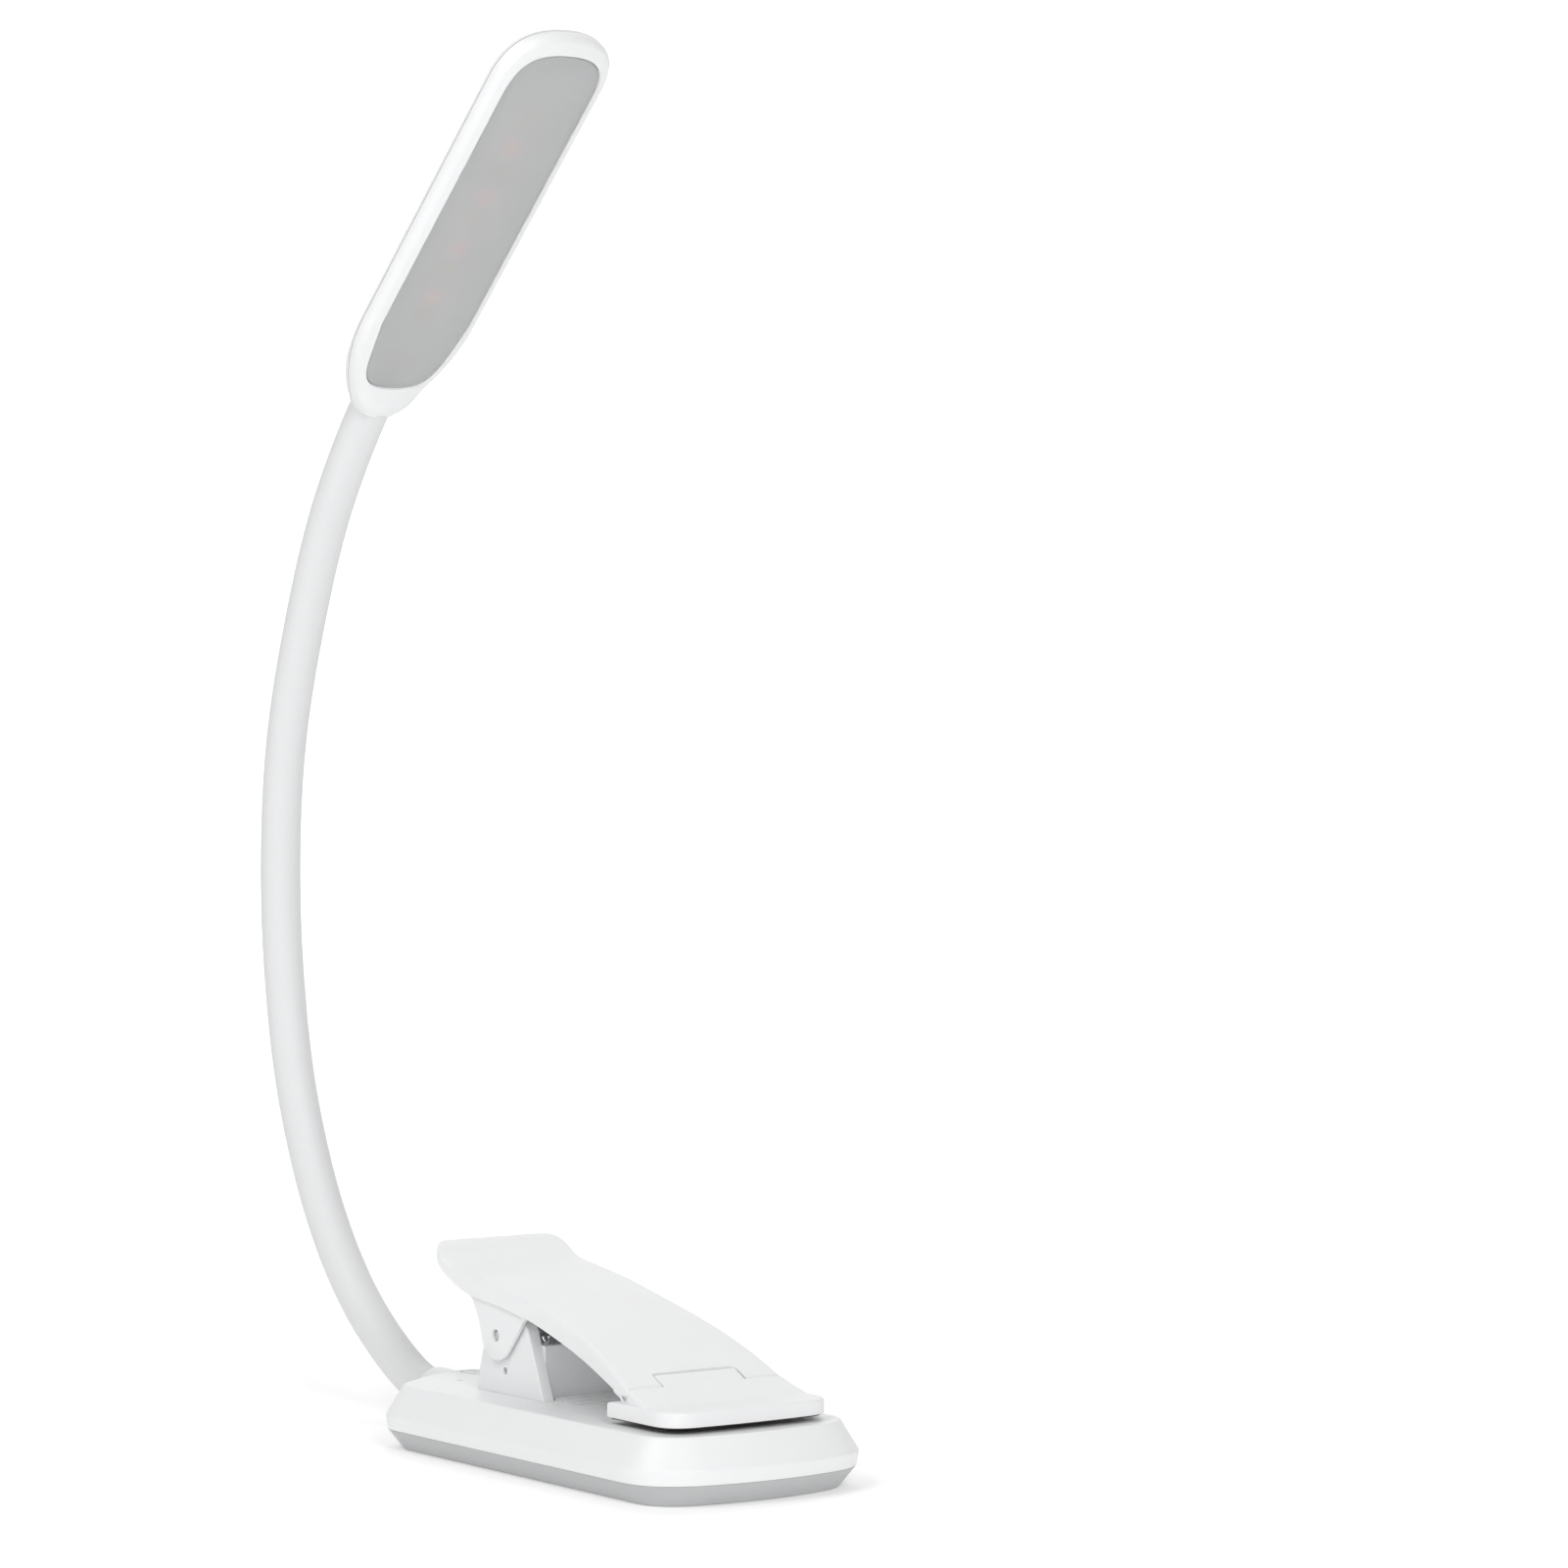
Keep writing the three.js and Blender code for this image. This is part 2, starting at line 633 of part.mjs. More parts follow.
const NECK_LINE = new THREE.CatmullRomCurve3([
  [0, 57.4, NECK.height],
  [0, 64.8, NECK.height],
  [-0.1, 75.6, 9.8],
  [-0.7, 92.9, 22.2],
  [-1.8, 105.4, 39.4],
  [-3.5, 114, 63.5],
  [-5.4, 116.5, 88.1],
  [-7.1, 115.5, 112.9],
  [-8.5, 111.2, 137.6],
  [-9.3, 102.9, 162],
  [-9.4, 92.1, 186],
  [-8.53, 78.6, 206.66],
  [-7.63, 70.78, 215.7],
].map(([x, y, z]) => new THREE.Vector3(x, y, z)), false, 'centripetal');

const NECK_LENGTH = NECK_LINE.getLength();
const CORE_START = 0;
const SLEEVE_START = 3.2;
const COLLAR_AT = 7.8;
const HEAD_AT = NECK_LENGTH - 12.1;

// Distances along the neck of the places where one stretch turns on the next.
function jointPlaces() {
  const first = COLLAR_AT + ROOT_OUT;
  const last = HEAD_AT - TIP_OUT;
  const step = (last - first) / MOVING_SEGMENTS;
  return Array.from({ length: MOVING_SEGMENTS + 1 }, (_, i) => first + step * i);
}

class Stretch extends THREE.Curve {
  constructor(line, from, to) {
    super();
    this.line = line;
    this.from = from / NECK_LENGTH;
    this.to = to / NECK_LENGTH;
  }

  getPoint(t, target = new THREE.Vector3()) {
    return target.copy(this.line.getPointAt(THREE.MathUtils.lerp(this.from, this.to, t)));
  }
}

// Room for one joint to bend: the space between two blunt cones, point to point.
function jointGap(at) {
  const reach = 7;
  const flat = 0.16;
  const rise = flat + reach * Math.tan(JOINT_SLOPE);
  const cone = turned([[0, -flat], [reach, -rise], [reach, rise], [0, flat]], 0, 0, 14);
  const u = at / NECK_LENGTH;
  const turn = new THREE.Quaternion().setFromUnitVectors(
    new THREE.Vector3(0, 0, 1), NECK_LINE.getTangentAt(u));
  const place = new THREE.Matrix4().compose(NECK_LINE.getPointAt(u), turn, new THREE.Vector3(1, 1, 1));
  return cone.transform(place.toArray());
}

function tube(from, to, outer, inner, sides) {
  const section = circle(0, 0, outer);
  if (inner > 0) {
    section.holes.push(new THREE.Path().absarc(0, 0, inner, 0, Math.PI * 2, true));
  }
  const steps = Math.max(2, Math.round((to - from) / 9));
  return solid(new THREE.ExtrudeGeometry(section, {
    steps, extrudePath: new Stretch(NECK_LINE, from, to), curveSegments: sides / 2,
  }));
}

function addNeck() {
  const joints = jointPlaces();
  const names = ['root', ...Array.from({ length: MOVING_SEGMENTS }, (_, i) => `${i + 1}`), 'tip'];
  const sleeveEnds = [SLEEVE_START, ...joints, HEAD_AT + 2.8];
  const coreEnds = [CORE_START, ...joints, NECK_LENGTH];
  const gaps = joints.map(jointGap);
  names.forEach((name, i) => {
    const tools = gaps.filter((_, j) => j === i || j === i - 1);
    const sleeve = tube(sleeveEnds[i], sleeveEnds[i + 1], NECK.radius, NECK.bore, 16);
    const core = tube(coreEnds[i], coreEnds[i + 1], NECK.core, 0, 6);
    piece(`neck_sleeve_${name}`, cut(sleeve, ...tools), SOFT_WHITE);
    piece(`neck_core_${name}`, cut(core, ...tools), DARK_STEEL);
  });
}

// ---------------------------------------------------------------------- head
// Built flat: X across, Y along the head from the neck, Z out of the lit face.

function headPlan() {
  const { half, length, neckHalf } = HEAD;
  const path = new THREE.Path();
  path.moveTo(0, 0);
  path.lineTo(neckHalf, 0);
  path.bezierCurveTo(9.9, 5.6, half - 0.2, 13.5, half - 0.2, 22);
  path.lineTo(half, length - 12);
  path.bezierCurveTo(half, length - 3, 8.6, length, 0, length);
  return mirrored(path.getPoints(6));
}

function lensPlan(grow) {
  const { half, low, high } = LENS;
  const path = new THREE.Path();
  path.moveTo(0, low);
  path.bezierCurveTo(9.2, low, 9.6, low + 2.4, half - 0.05, low + 16);
  path.lineTo(half, high - 9.4);
  path.bezierCurveTo(half, high - 2.3, 8.2, high, 0, high);
  return inset(mirrored(path.getPoints(6)), -grow);
}

function level(points, z0, z1) {
  return stacked([{ points, z: z0 }, { points, z: z1 }]);
}

function headBody() {
  const plan = headPlan();
  const body = stacked([
    { points: inset(plan, 4.2), z: -HEAD.thickness },
    { points: inset(plan, 2), z: -HEAD.thickness + 0.55 },
    { points: inset(plan, 0.6), z: -HEAD.thickness + 1.5 },
    { points: plan, z: HEAD.seam },
    { points: plan, z: -2.4 },
    { points: inset(plan, 0.25), z: -1.4 },
    { points: inset(plan, 0.9), z: -0.55 },
    { points: inset(plan, 1.9), z: -0.1 },
    { points: inset(plan, 2.5), z: 0 },
  ]);
  return joined(body, headSocket());
}

// Round end that takes the neck: it fades into the head behind, and slopes
// down to the lit face in front.
function headSocket() {
  const round = turned(
    [[0, 0], [4.5, 0], [4.7, 0.3], [4.7, 4], [4.2, 9], [3.6, 13], [2.2, 20], [0, 20]], 0, 0, 28)
    .rotate([-90, 0, 0])
    .translate(0, 0, HEAD.axis);
  const slope = polygon([[-1, -12], [22, -12], [22, -0.1], [5.8, -0.1], [2.6, 0.95], [1, 1.3], [0, 1], [-1, 0.4]]);
  return shared(round, across(slope, -10, 10));
}

function socketRod(radius, y0, y1) {
  return rod(new THREE.Vector3(0, y0, HEAD.axis), new THREE.Vector3(0, y1, HEAD.axis), radius, 28);
}

function headRoom() {
  const room = level(inset(headPlan(), HEAD.wall), -HEAD.thickness + HEAD.wall, -HEAD.front);
  return shared(room, block(-20, 20, 11, 100, -10, 5));
}

function neckWay() {
  return joined(
    socketRod(COLLAR_BORE, -5, HEAD.socketDepth),
    socketRod(NECK.bore, -5, 12),
    socketRod(2.4, 11, 14.2));
}

function headBezel() {
  const front = shared(headBody(), above(HEAD.seam + 0.15));
  const opening = level(lensPlan(LENS.gap), -5, 3);
  const rebate = level(lensPlan(0.95), -5, LENS.top - LENS.thickness + 0.15);
  return cut(front, headRoom(), opening, rebate, neckWay());
}

function headBackShell() {
  const back = shared(headBody(), below(HEAD.seam - 0.15));
  const pegs = pegPlaces().map(([x, y]) => upright(x, y, -4.6, -3.75, 1.1, 12));
  return joined(cut(back, headRoom(), neckWay()), ...pegs);
}

function pegPlaces() {
  return [[-9.4, 38.5], [9.4, 39.5], [-9.4, 65], [9.4, 66.5], [0, 86.9]];
}

function diffuser() {
  const { top, thickness } = LENS;
  const face = level(lensPlan(0), top - thickness, top);
  const flange = level(lensPlan(0.8), -1.85, top - thickness);
  const rim = cut(flange, level(lensPlan(-1), -4, top - thickness));
  return joined(face, rim);
}

function ledBoard() {
  const outline = polygon([[-7.4, 14.6], [7.4, 14.6], [7.4, 84], [-7.4, 84]]);
  return prism(outline, -3.6, -2.8);
}

function led(y, turn) {
  return block(-1.75, 1.75, y - 1.4, y + 1.4, -2.7, -2.1 + turn * 0.02);
}

function neckClamp() {
  return cut(socketRod(1.85, 11.3, 13.9), socketRod(NECK.core + 0.1, 5, 15));
}

function turnAbout(axis, degrees) {
  return new THREE.Quaternion().setFromAxisAngle(axis, THREE.MathUtils.degToRad(degrees));
}

function addHead() {
  const x = new THREE.Vector3(1, 0, 0);
  const z = new THREE.Vector3(0, 0, 1);
  const head = new THREE.Group();
  head.position.copy(HEAD_PLACE);
  head.quaternion
    .multiply(turnAbout(z, HEAD_TWIST))
    .multiply(turnAbout(x, HEAD_TILT))
    .multiply(turnAbout(z, HEAD_ROLL))
    .multiply(turnAbout(x, 90));
  lamp.add(head);
  piece('head_bezel', headBezel(), WHITE, head);
  piece('head_back_shell', headBackShell(), WHITE, head);
  piece('diffuser', diffuser(), FROSTED, head);
  piece('led_board', ledBoard(), BOARD_WHITE, head);
  piece('neck_clamp', neckClamp(), BRASS, head);
  LED_ROWS.forEach((y, i) => {
    piece(`led_${i + 1}`, led(y, i % 2), i % 2 ? ROSE_LED : WARM_LED, head);
  });
}

// ------------------------------------------------------------------ assembly

function addBase() {
  piece('base_top_shell', baseTopShell(), WHITE);
  piece('base_bottom_cover', baseBottomCover(), WHITE);
  piece('grip_pad', gripPad(), SOFT_WHITE);
  piece('main_board', mainBoard(), BOARD_GREEN);
  piece('usb_socket', usbSocket(), STEEL);
  piece('battery_cell', batteryCell(), CELL_WRAP);
  piece('neck_anchor_bush', neckAnchor(), BRASS);
  piece('switch_body', switchBody(), SWITCH_BLACK);
  piece('switch_plunger', switchPlunger(), SWITCH_BLACK);
  piece('button_cap', buttonCap(), KEY_WHITE);
  lightPlaces().forEach((x, i) => piece(`light_pipe_${i + 1}`, lightPipe(x), CLEAR));
  COVER_SCREWS.forEach((place, i) => piece(`cover_screw_${i + 1}`, coverScrew(place), STEEL));
}

function addClip() {
  piece('clip_bracket', clipBracket(), WHITE);
  piece('pivot_pin', crossRod(-13.95, 13.95, PIVOT.y, PIVOT.z, PIVOT.pin), STEEL);
  piece('spring_rest_pin', crossRod(-12.7, 12.7, REST_PIN.y, REST_PIN.z, REST_PIN.radius, 12), STEEL);
  piece('clip_spring', clipSpring(), DARK_STEEL);
  piece('lever', lever(), WHITE);
  piece('jaw_pin', crossRod(-17, 17, JAW.pinY, JAW.pinZ, JAW.pin, 12), STEEL);
  piece('jaw_plate', jawPlate(), WHITE);
  piece('jaw_pad', jawPad(), RUBBER);
}

addBase();
addClip();
addNeck();
addHead();

export default lamp;
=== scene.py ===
import json
import math

import bmesh
import bpy
import numpy as np
from mathutils import Matrix, Vector


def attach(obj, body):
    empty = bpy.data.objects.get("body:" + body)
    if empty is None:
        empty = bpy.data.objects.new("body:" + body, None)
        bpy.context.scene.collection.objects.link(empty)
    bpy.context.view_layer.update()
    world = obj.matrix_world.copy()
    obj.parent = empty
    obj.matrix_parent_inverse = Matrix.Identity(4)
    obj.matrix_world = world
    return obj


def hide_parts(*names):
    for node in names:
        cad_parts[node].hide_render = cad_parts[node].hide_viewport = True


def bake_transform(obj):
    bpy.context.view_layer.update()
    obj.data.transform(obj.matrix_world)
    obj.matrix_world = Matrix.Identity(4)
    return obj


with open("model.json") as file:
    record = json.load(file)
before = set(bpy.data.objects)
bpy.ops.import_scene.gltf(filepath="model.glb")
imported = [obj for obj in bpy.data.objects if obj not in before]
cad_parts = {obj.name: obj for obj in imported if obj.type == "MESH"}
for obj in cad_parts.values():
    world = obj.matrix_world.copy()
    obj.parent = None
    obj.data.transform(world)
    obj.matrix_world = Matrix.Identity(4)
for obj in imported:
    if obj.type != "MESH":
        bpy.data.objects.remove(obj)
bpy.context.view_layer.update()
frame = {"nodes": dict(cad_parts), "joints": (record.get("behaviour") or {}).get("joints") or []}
NODES = frame["nodes"]
MM = 0.001
COLLECTION = bpy.context.scene.collection

# Directions along which turned pieces and holes run.
ALONG_X, ALONG_Y, ALONG_Z = (1, 0, 0), (0, 1, 0), (0, 0, 1)


# ------------------------------------------------------------------ materials

def nodes_of(name):
    material = bpy.data.materials.new(name)
    material.use_nodes = True
    tree = material.node_tree
    return material, tree, tree.nodes["Principled BSDF"]


def finish_surface(tree, shader, rough, grain, depth, mottle):
    """Fine moulded grain in the bump, and a slow drift of roughness over it."""
    coordinates = tree.nodes.new("ShaderNodeTexCoord")
    fine = tree.nodes.new("ShaderNodeTexNoise")
    fine.inputs["Scale"].default_value = grain
    fine.inputs["Detail"].default_value = 6
    fine.inputs["Roughness"].default_value = 0.6
    tree.links.new(coordinates.outputs["Object"], fine.inputs["Vector"])
    bump = tree.nodes.new("ShaderNodeBump")
    bump.inputs["Strength"].default_value = depth
    bump.inputs["Distance"].default_value = 0.0001
    tree.links.new(fine.outputs["Fac"], bump.inputs["Height"])
    tree.links.new(bump.outputs["Normal"], shader.inputs["Normal"])
    slow = tree.nodes.new("ShaderNodeTexNoise")
    slow.inputs["Scale"].default_value = 90
    slow.inputs["Detail"].default_value = 3
    tree.links.new(coordinates.outputs["Object"], slow.inputs["Vector"])
    spread = tree.nodes.new("ShaderNodeMapRange")
    spread.inputs["To Min"].default_value = rough - mottle
    spread.inputs["To Max"].default_value = rough + mottle
    tree.links.new(slow.outputs["Fac"], spread.inputs["Value"])
    tree.links.new(spread.outputs["Result"], shader.inputs["Roughness"])
    return coordinates


def tinted(tree, shader, coordinates, scale, dark, light):
    """Base colour that drifts a little between two close tones."""
    cloud = tree.nodes.new("ShaderNodeTexNoise")
    cloud.inputs["Scale"].default_value = scale
    cloud.inputs["Detail"].default_value = 4
    tree.links.new(coordinates.outputs["Object"], cloud.inputs["Vector"])
    ramp = tree.nodes.new("ShaderNodeValToRGB")
    ramp.color_ramp.elements[0].position = 0.3
    ramp.color_ramp.elements[0].color = (*dark, 1)
    ramp.color_ramp.elements[1].position = 0.7
    ramp.color_ramp.elements[1].color = (*light, 1)
    tree.links.new(cloud.outputs["Fac"], ramp.inputs["Fac"])
    tree.links.new(ramp.outputs["Color"], shader.inputs["Base Color"])


def plastic(name, tone, rough, grain=2600, depth=0.12, mottle=0.04, drift=0.015, **inputs):
    """Moulded plastic or rubber; inputs are shader sockets, with _ for each space."""
    material, tree, shader = nodes_of(name)
    coordinates = finish_surface(tree, shader, rough, grain, depth, mottle)
    dark = [c * (1 - drift) for c in tone]
    tinted(tree, shader, coordinates, 60, dark, tone)
    for key, value in inputs.items():
        shader.inputs[key.replace("_", " ")].default_value = value
    return material


def metal(name, tone, rough, along=(1, 40, 40)):
    """Drawn or ground metal: noise stretched along the wire or pin."""
    material, tree, shader = nodes_of(name)
    shader.inputs["Metallic"].default_value = 1
    coordinates = tree.nodes.new("ShaderNodeTexCoord")
    stretch = tree.nodes.new("ShaderNodeMapping")
    stretch.inputs["Scale"].default_value = along
    tree.links.new(coordinates.outputs["Object"], stretch.inputs["Vector"])
    lines = tree.nodes.new("ShaderNodeTexNoise")
    lines.inputs["Scale"].default_value = 120
    lines.inputs["Detail"].default_value = 5
    tree.links.new(stretch.outputs["Vector"], lines.inputs["Vector"])
    spread = tree.nodes.new("ShaderNodeMapRange")
    spread.inputs["To Min"].default_value = rough * 0.7
    spread.inputs["To Max"].default_value = rough * 1.4
    tree.links.new(lines.outputs["Fac"], spread.inputs["Value"])
    tree.links.new(spread.outputs["Result"], shader.inputs["Roughness"])
    bump = tree.nodes.new("ShaderNodeBump")
    bump.inputs["Strength"].default_value = 0.15
    bump.inputs["Distance"].default_value = 0.00005
    tree.links.new(lines.outputs["Fac"], bump.inputs["Height"])
    tree.links.new(bump.outputs["Normal"], shader.inputs["Normal"])
    tinted(tree, shader, coordinates, 200, [c * 0.9 for c in tone], tone)
    return material


def frosted(name):
    """Milky panel: mostly diffuse, with enough haze let through to show what is behind it."""
    material, tree, shader = nodes_of(name)
    coordinates = finish_surface(tree, shader, 0.45, 3200, 0.2, 0.05)
    tinted(tree, shader, coordinates, 70, (0.755, 0.76, 0.765), (0.775, 0.78, 0.785))
    shader.inputs["Transmission Weight"].default_value = 0.55
    shader.inputs["IOR"].default_value = 1.25
    return material


WHITE = plastic("white_shell", (0.83, 0.835, 0.84), 0.4)
# The bottom cover is the shell's plastic in the record; here it is given a greyer tone of it, as painted shade on
# the downward-facing lower chamfer.
COVER_PAINTED_SHADE = plastic("cover_painted_shade", (0.49, 0.495, 0.5), 0.45)
WHITE_KEY = plastic("key_white", (0.78, 0.785, 0.79), 0.45)
# Painted shade: grey for the bottom of the button's engraved grooves.
GROOVE_SHADE_GREY = plastic("groove_painted_shade", (0.36, 0.365, 0.37), 0.6)
SLEEVE = plastic("sleeve_silicone", (0.72, 0.725, 0.73), 0.55, grain=1800, depth=0.2, mottle=0.06)
GRIP = plastic("grip_pad", (0.74, 0.745, 0.75), 0.6, grain=2000, depth=0.25)
PAD = plastic("pad_rubber", (0.035, 0.03, 0.03), 0.75, grain=1500, depth=0.4, mottle=0.08, drift=0.2)
FROST = frosted("diffuser_frost")
PIPE = plastic("light_pipe", (0.8, 0.82, 0.83), 0.25, Transmission_Weight=0.1)
STEEL = metal("steel", (0.6, 0.61, 0.63), 0.28)
WIRE = metal("dark_steel", (0.42, 0.43, 0.45), 0.35, along=(30, 6, 6))
BRASS = metal("brass", (0.6, 0.43, 0.18), 0.3)
GREEN = plastic("board_green", (0.02, 0.13, 0.05), 0.4, grain=900, drift=0.15)
BOARD_WHITE = plastic("board_white", (0.82, 0.82, 0.8), 0.5)
CELL = plastic("cell_wrap", (0.07, 0.16, 0.43), 0.3, drift=0.1)
BLACK = plastic("switch_black", (0.02, 0.02, 0.02), 0.5)
WARM = plastic("warm_led", (0.86, 0.66, 0.2), 0.35)
# The rose LEDs get a faint painted glow, so they show through the frosted face.
ROSE_PAINTED_GLOW = plastic("rose_led", (0.84, 0.42, 0.3), 0.35,
               Emission_Color=(1, 0.3, 0.3, 1), Emission_Strength=0.32)


# ------------------------------------------------------------- curves, outlines

def quad(a, b, c, n=12):
    """Quadratic Bezier curve."""
    return [tuple((1 - t) ** 2 * a[i] + 2 * t * (1 - t) * b[i] + t * t * c[i] for i in (0, 1))
            for t in np.linspace(0, 1, n + 1)]


def cubic(a, b, c, d, n=16):
    """Cubic Bezier curve."""
    return [tuple((1 - t) ** 3 * a[i] + 3 * t * (1 - t) ** 2 * b[i]
                  + 3 * t * t * (1 - t) * c[i] + t ** 3 * d[i]
                  for i in (0, 1)) for t in np.linspace(0, 1, n + 1)]


def line(a, b, n=1):
    return [tuple(a[i] + (b[i] - a[i]) * t for i in (0, 1)) for t in np.linspace(0, 1, n + 1)]


def arc(x, y, r, start, end, n=16):
    return [(x + r * math.cos(t), y + r * math.sin(t)) for t in np.linspace(start, end, n + 1)]


def chain(*runs):
    """Runs of points end to end, without the repeats where they meet."""
    out = []
    for run in runs:
        for p in run:
            if not out or math.dist(out[-1], p) > 1e-6:
                out.append(p)
    return out


def mirrored(half):
    """Whole outline from its half at x >= 0."""
    left = [(-x, y) for x, y in reversed(half) if x > 1e-6]
    return half + left


def inset(points, distance):
    """Outline moved inwards; it runs anticlockwise."""
    p = np.array(points, float)
    before = p - np.roll(p, 1, axis=0)
    after = np.roll(p, -1, axis=0) - p
    n1 = np.stack([-before[:, 1], before[:, 0]], 1)
    n2 = np.stack([-after[:, 1], after[:, 0]], 1)
    n1 /= np.linalg.norm(n1, axis=1)[:, None]
    n2 /= np.linalg.norm(n2, axis=1)[:, None]
    m = n1 + n2
    reach = 2 * distance / (m * m).sum(1)
    return p + m * reach[:, None]


HELD_FROM = 0.4  # shorter stretches get no holding points
HELD_AT = 0.15  # distance of a holding point from the end of its stretch


def held(a, b):
    """Points just inside both ends of a straight stretch, which keep its shading flat."""
    length = np.linalg.norm(b - a)
    if length < HELD_FROM:
        return []
    step = (b - a) * min(HELD_AT, length / 3) / length
    return [a + step, b - step]


def rounded(corners, radius, n=5):
    """Open profile with its inner corners rounded; radius is one number or one per inner corner."""
    c = [np.array(p, float) for p in corners]
    radii = radius if isinstance(radius, (list, tuple)) else [radius] * (len(c) - 2)
    out = [c[0]]
    for i, r in zip(range(1, len(c) - 1), radii):
        a = c[i] + (c[i - 1] - c[i]) / np.linalg.norm(c[i - 1] - c[i]) * r
        b = c[i] + (c[i + 1] - c[i]) / np.linalg.norm(c[i + 1] - c[i]) * r
        out += held(out[-1], a)
        for t in np.linspace(0, 1, n + 1):
            out.append((1 - t) ** 2 * a + 2 * t * (1 - t) * c[i] + t * t * b)
    out += held(out[-1], c[-1]) + [c[-1]]
    return [tuple(p) for p in out]


def smooth_line(points, per=8):
    """Centripetal Catmull-Rom line through points, in any number of dimensions."""
    p = [np.array(q, float) for q in points]
    p = [2 * p[0] - p[1]] + p + [2 * p[-1] - p[-2]]
    out = []
    for i in range(1, len(p) - 2):
        a, b, c, d = p[i - 1:i + 3]
        d0, d1, d2 = (np.linalg.norm(v) ** 0.5 for v in (b - a, c - b, d - c))
        t1 = ((b - a) / d0 - (c - a) / (d0 + d1) + (c - b) / d1) * d1
        t2 = ((c - b) / d1 - (d - b) / (d1 + d2) + (d - c) / d2) * d1
        for t in np.linspace(0, 1, per, endpoint=False):
            h = t * t * (3 - 2 * t)
            out.append(b + (c - b) * h + t1 * (t - 2 * t * t + t ** 3) + t2 * (t ** 3 - t * t))
    out.append(p[-2])
    return np.array(out)


def ease(t):
    """Smooth step from 0 to 1."""
    t = min(max(t, 0), 1)
    return t * t * (3 - 2 * t)


# ---------------------------------------------------------------- solid pieces

def solid(name, vertices, faces, material, angle=32):
    mesh = bpy.data.meshes.new(name)
    mesh.from_pydata([tuple(float(c) * MM for c in v) for v in vertices], [], faces)
    bm = bmesh.new()
    bm.from_mesh(mesh)
    bmesh.ops.remove_doubles(bm, verts=bm.verts, dist=2e-7)
    bmesh.ops.recalc_face_normals(bm, faces=bm.faces)
    bm.to_mesh(mesh)
    bm.free()
    return shown(name, mesh, material, angle)


def shown(name, mesh, material, angle=32):
    mesh.shade_smooth()
    mesh.set_sharp_from_angle(angle=math.radians(angle))
    mesh.materials.clear()
    mesh.materials.append(material)
    obj = bpy.data.objects.new(name, mesh)
    COLLECTION.objects.link(obj)
    return obj


def strips(first, count, flip):
    """Cap of a ring that mirrors itself about x = 0, as strips straight across."""
    faces = [(first, first + 1, first + count - 1)]
    i = 1
    while i + 1 < count - i - 1:
        faces.append((first + i, first + i + 1, first + count - i - 1, first + count - i))
        i += 1
    if i + 1 == count - i - 1:
        faces.append((first + i, first + i + 1, first + count - i))
    return [tuple(reversed(f)) for f in faces] if flip else faces


def skin(name, rings, material, caps=True, angle=32):
    """Skin over closed rings of equal length; caps may be "strips" for rings that mirror themselves."""
    count = len(rings[0])
    vertices = [v for ring in rings for v in ring]
    faces = []
    for k in range(len(rings) - 1):
        for i in range(count):
            j = (i + 1) % count
            faces.append((k * count + i, k * count + j, (k + 1) * count + j, (k + 1) * count + i))
    last = (len(rings) - 1) * count
    if caps == "strips":
        faces += strips(0, count, True) + strips(last, count, False)
    elif caps:
        faces.append(tuple(reversed(range(count))))
        faces.append(tuple(range(last, last + count)))
    return solid(name, vertices, faces, material, angle)


def stack(name, outline, profile, material, angle=32, place=lambda x, y, z: (x, y, z), caps=True):
    """Outline in a plane, moved in by each inset of the profile at each height."""
    rings = [[place(x, y, z) for x, y in inset(outline, d)] for d, z in profile]
    return skin(name, rings, material, caps=caps, angle=angle)


def sideways(y, z, x):
    """Place for an outline drawn in y and z and given its thickness along x."""
    return (x, y, z)


def slab_profile(z0, z1, edge, n=4):
    """Flat plate with rounded edges."""
    return rounded([(edge * 1.6, z0), (0, z0), (0, z1), (edge * 1.6, z1)], edge, n)


def plate(name, outline, z0, z1, edge, material, place=lambda x, y, z: (x, y, z)):
    return stack(name, outline, slab_profile(z0, z1, edge), material, place=place)


def box(name, x0, x1, y0, y1, z0, z1, material, edge=0.0):
    outline = [(x0, y0), (x1, y0), (x1, y1), (x0, y1)]
    if edge:
        return plate(name, outline, z0, z1, edge, material)
    return stack(name, outline, [(0, z0), (0, z1)], material)


def turned(name, profile, material, origin, axis, n=48, angle=32):
    """Turned body: profile of (radius, height) along axis from origin."""
    turn = Vector((0, 0, 1)).rotation_difference(Vector(axis)).to_matrix()
    rings = []
    for r, h in profile:
        ring = []
        for k in range(n):
            t = 2 * math.pi * k / n
            ring.append(tuple(turn @ Vector((r * math.cos(t), r * math.sin(t), h)) + Vector(origin)))
        rings.append(ring)
    return skin(name, rings, material, angle=angle)


def swept(name, centres, radius, material, n=32, caps=False):
    """Round tube along a line of points, with a frame carried along it."""
    c = np.array(centres, float)
    tangents = np.gradient(c, axis=0)
    tangents /= np.linalg.norm(tangents, axis=1)[:, None]
    side = np.cross(tangents[0], (0.0, 0.0, 1.0))
    if np.linalg.norm(side) < 0.1:
        side = np.cross(tangents[0], (1.0, 0.0, 0.0))
    rings = []
    for p, t in zip(c, tangents):
        side = side - t * np.dot(side, t)
        side /= np.linalg.norm(side)
        other = np.cross(t, side)
        rings.append([p + radius * (side * math.cos(a) + other * math.sin(a))
                      for a in np.linspace(0, 2 * math.pi, n, endpoint=False)])
    return skin(name, rings, material, caps=caps, angle=50)


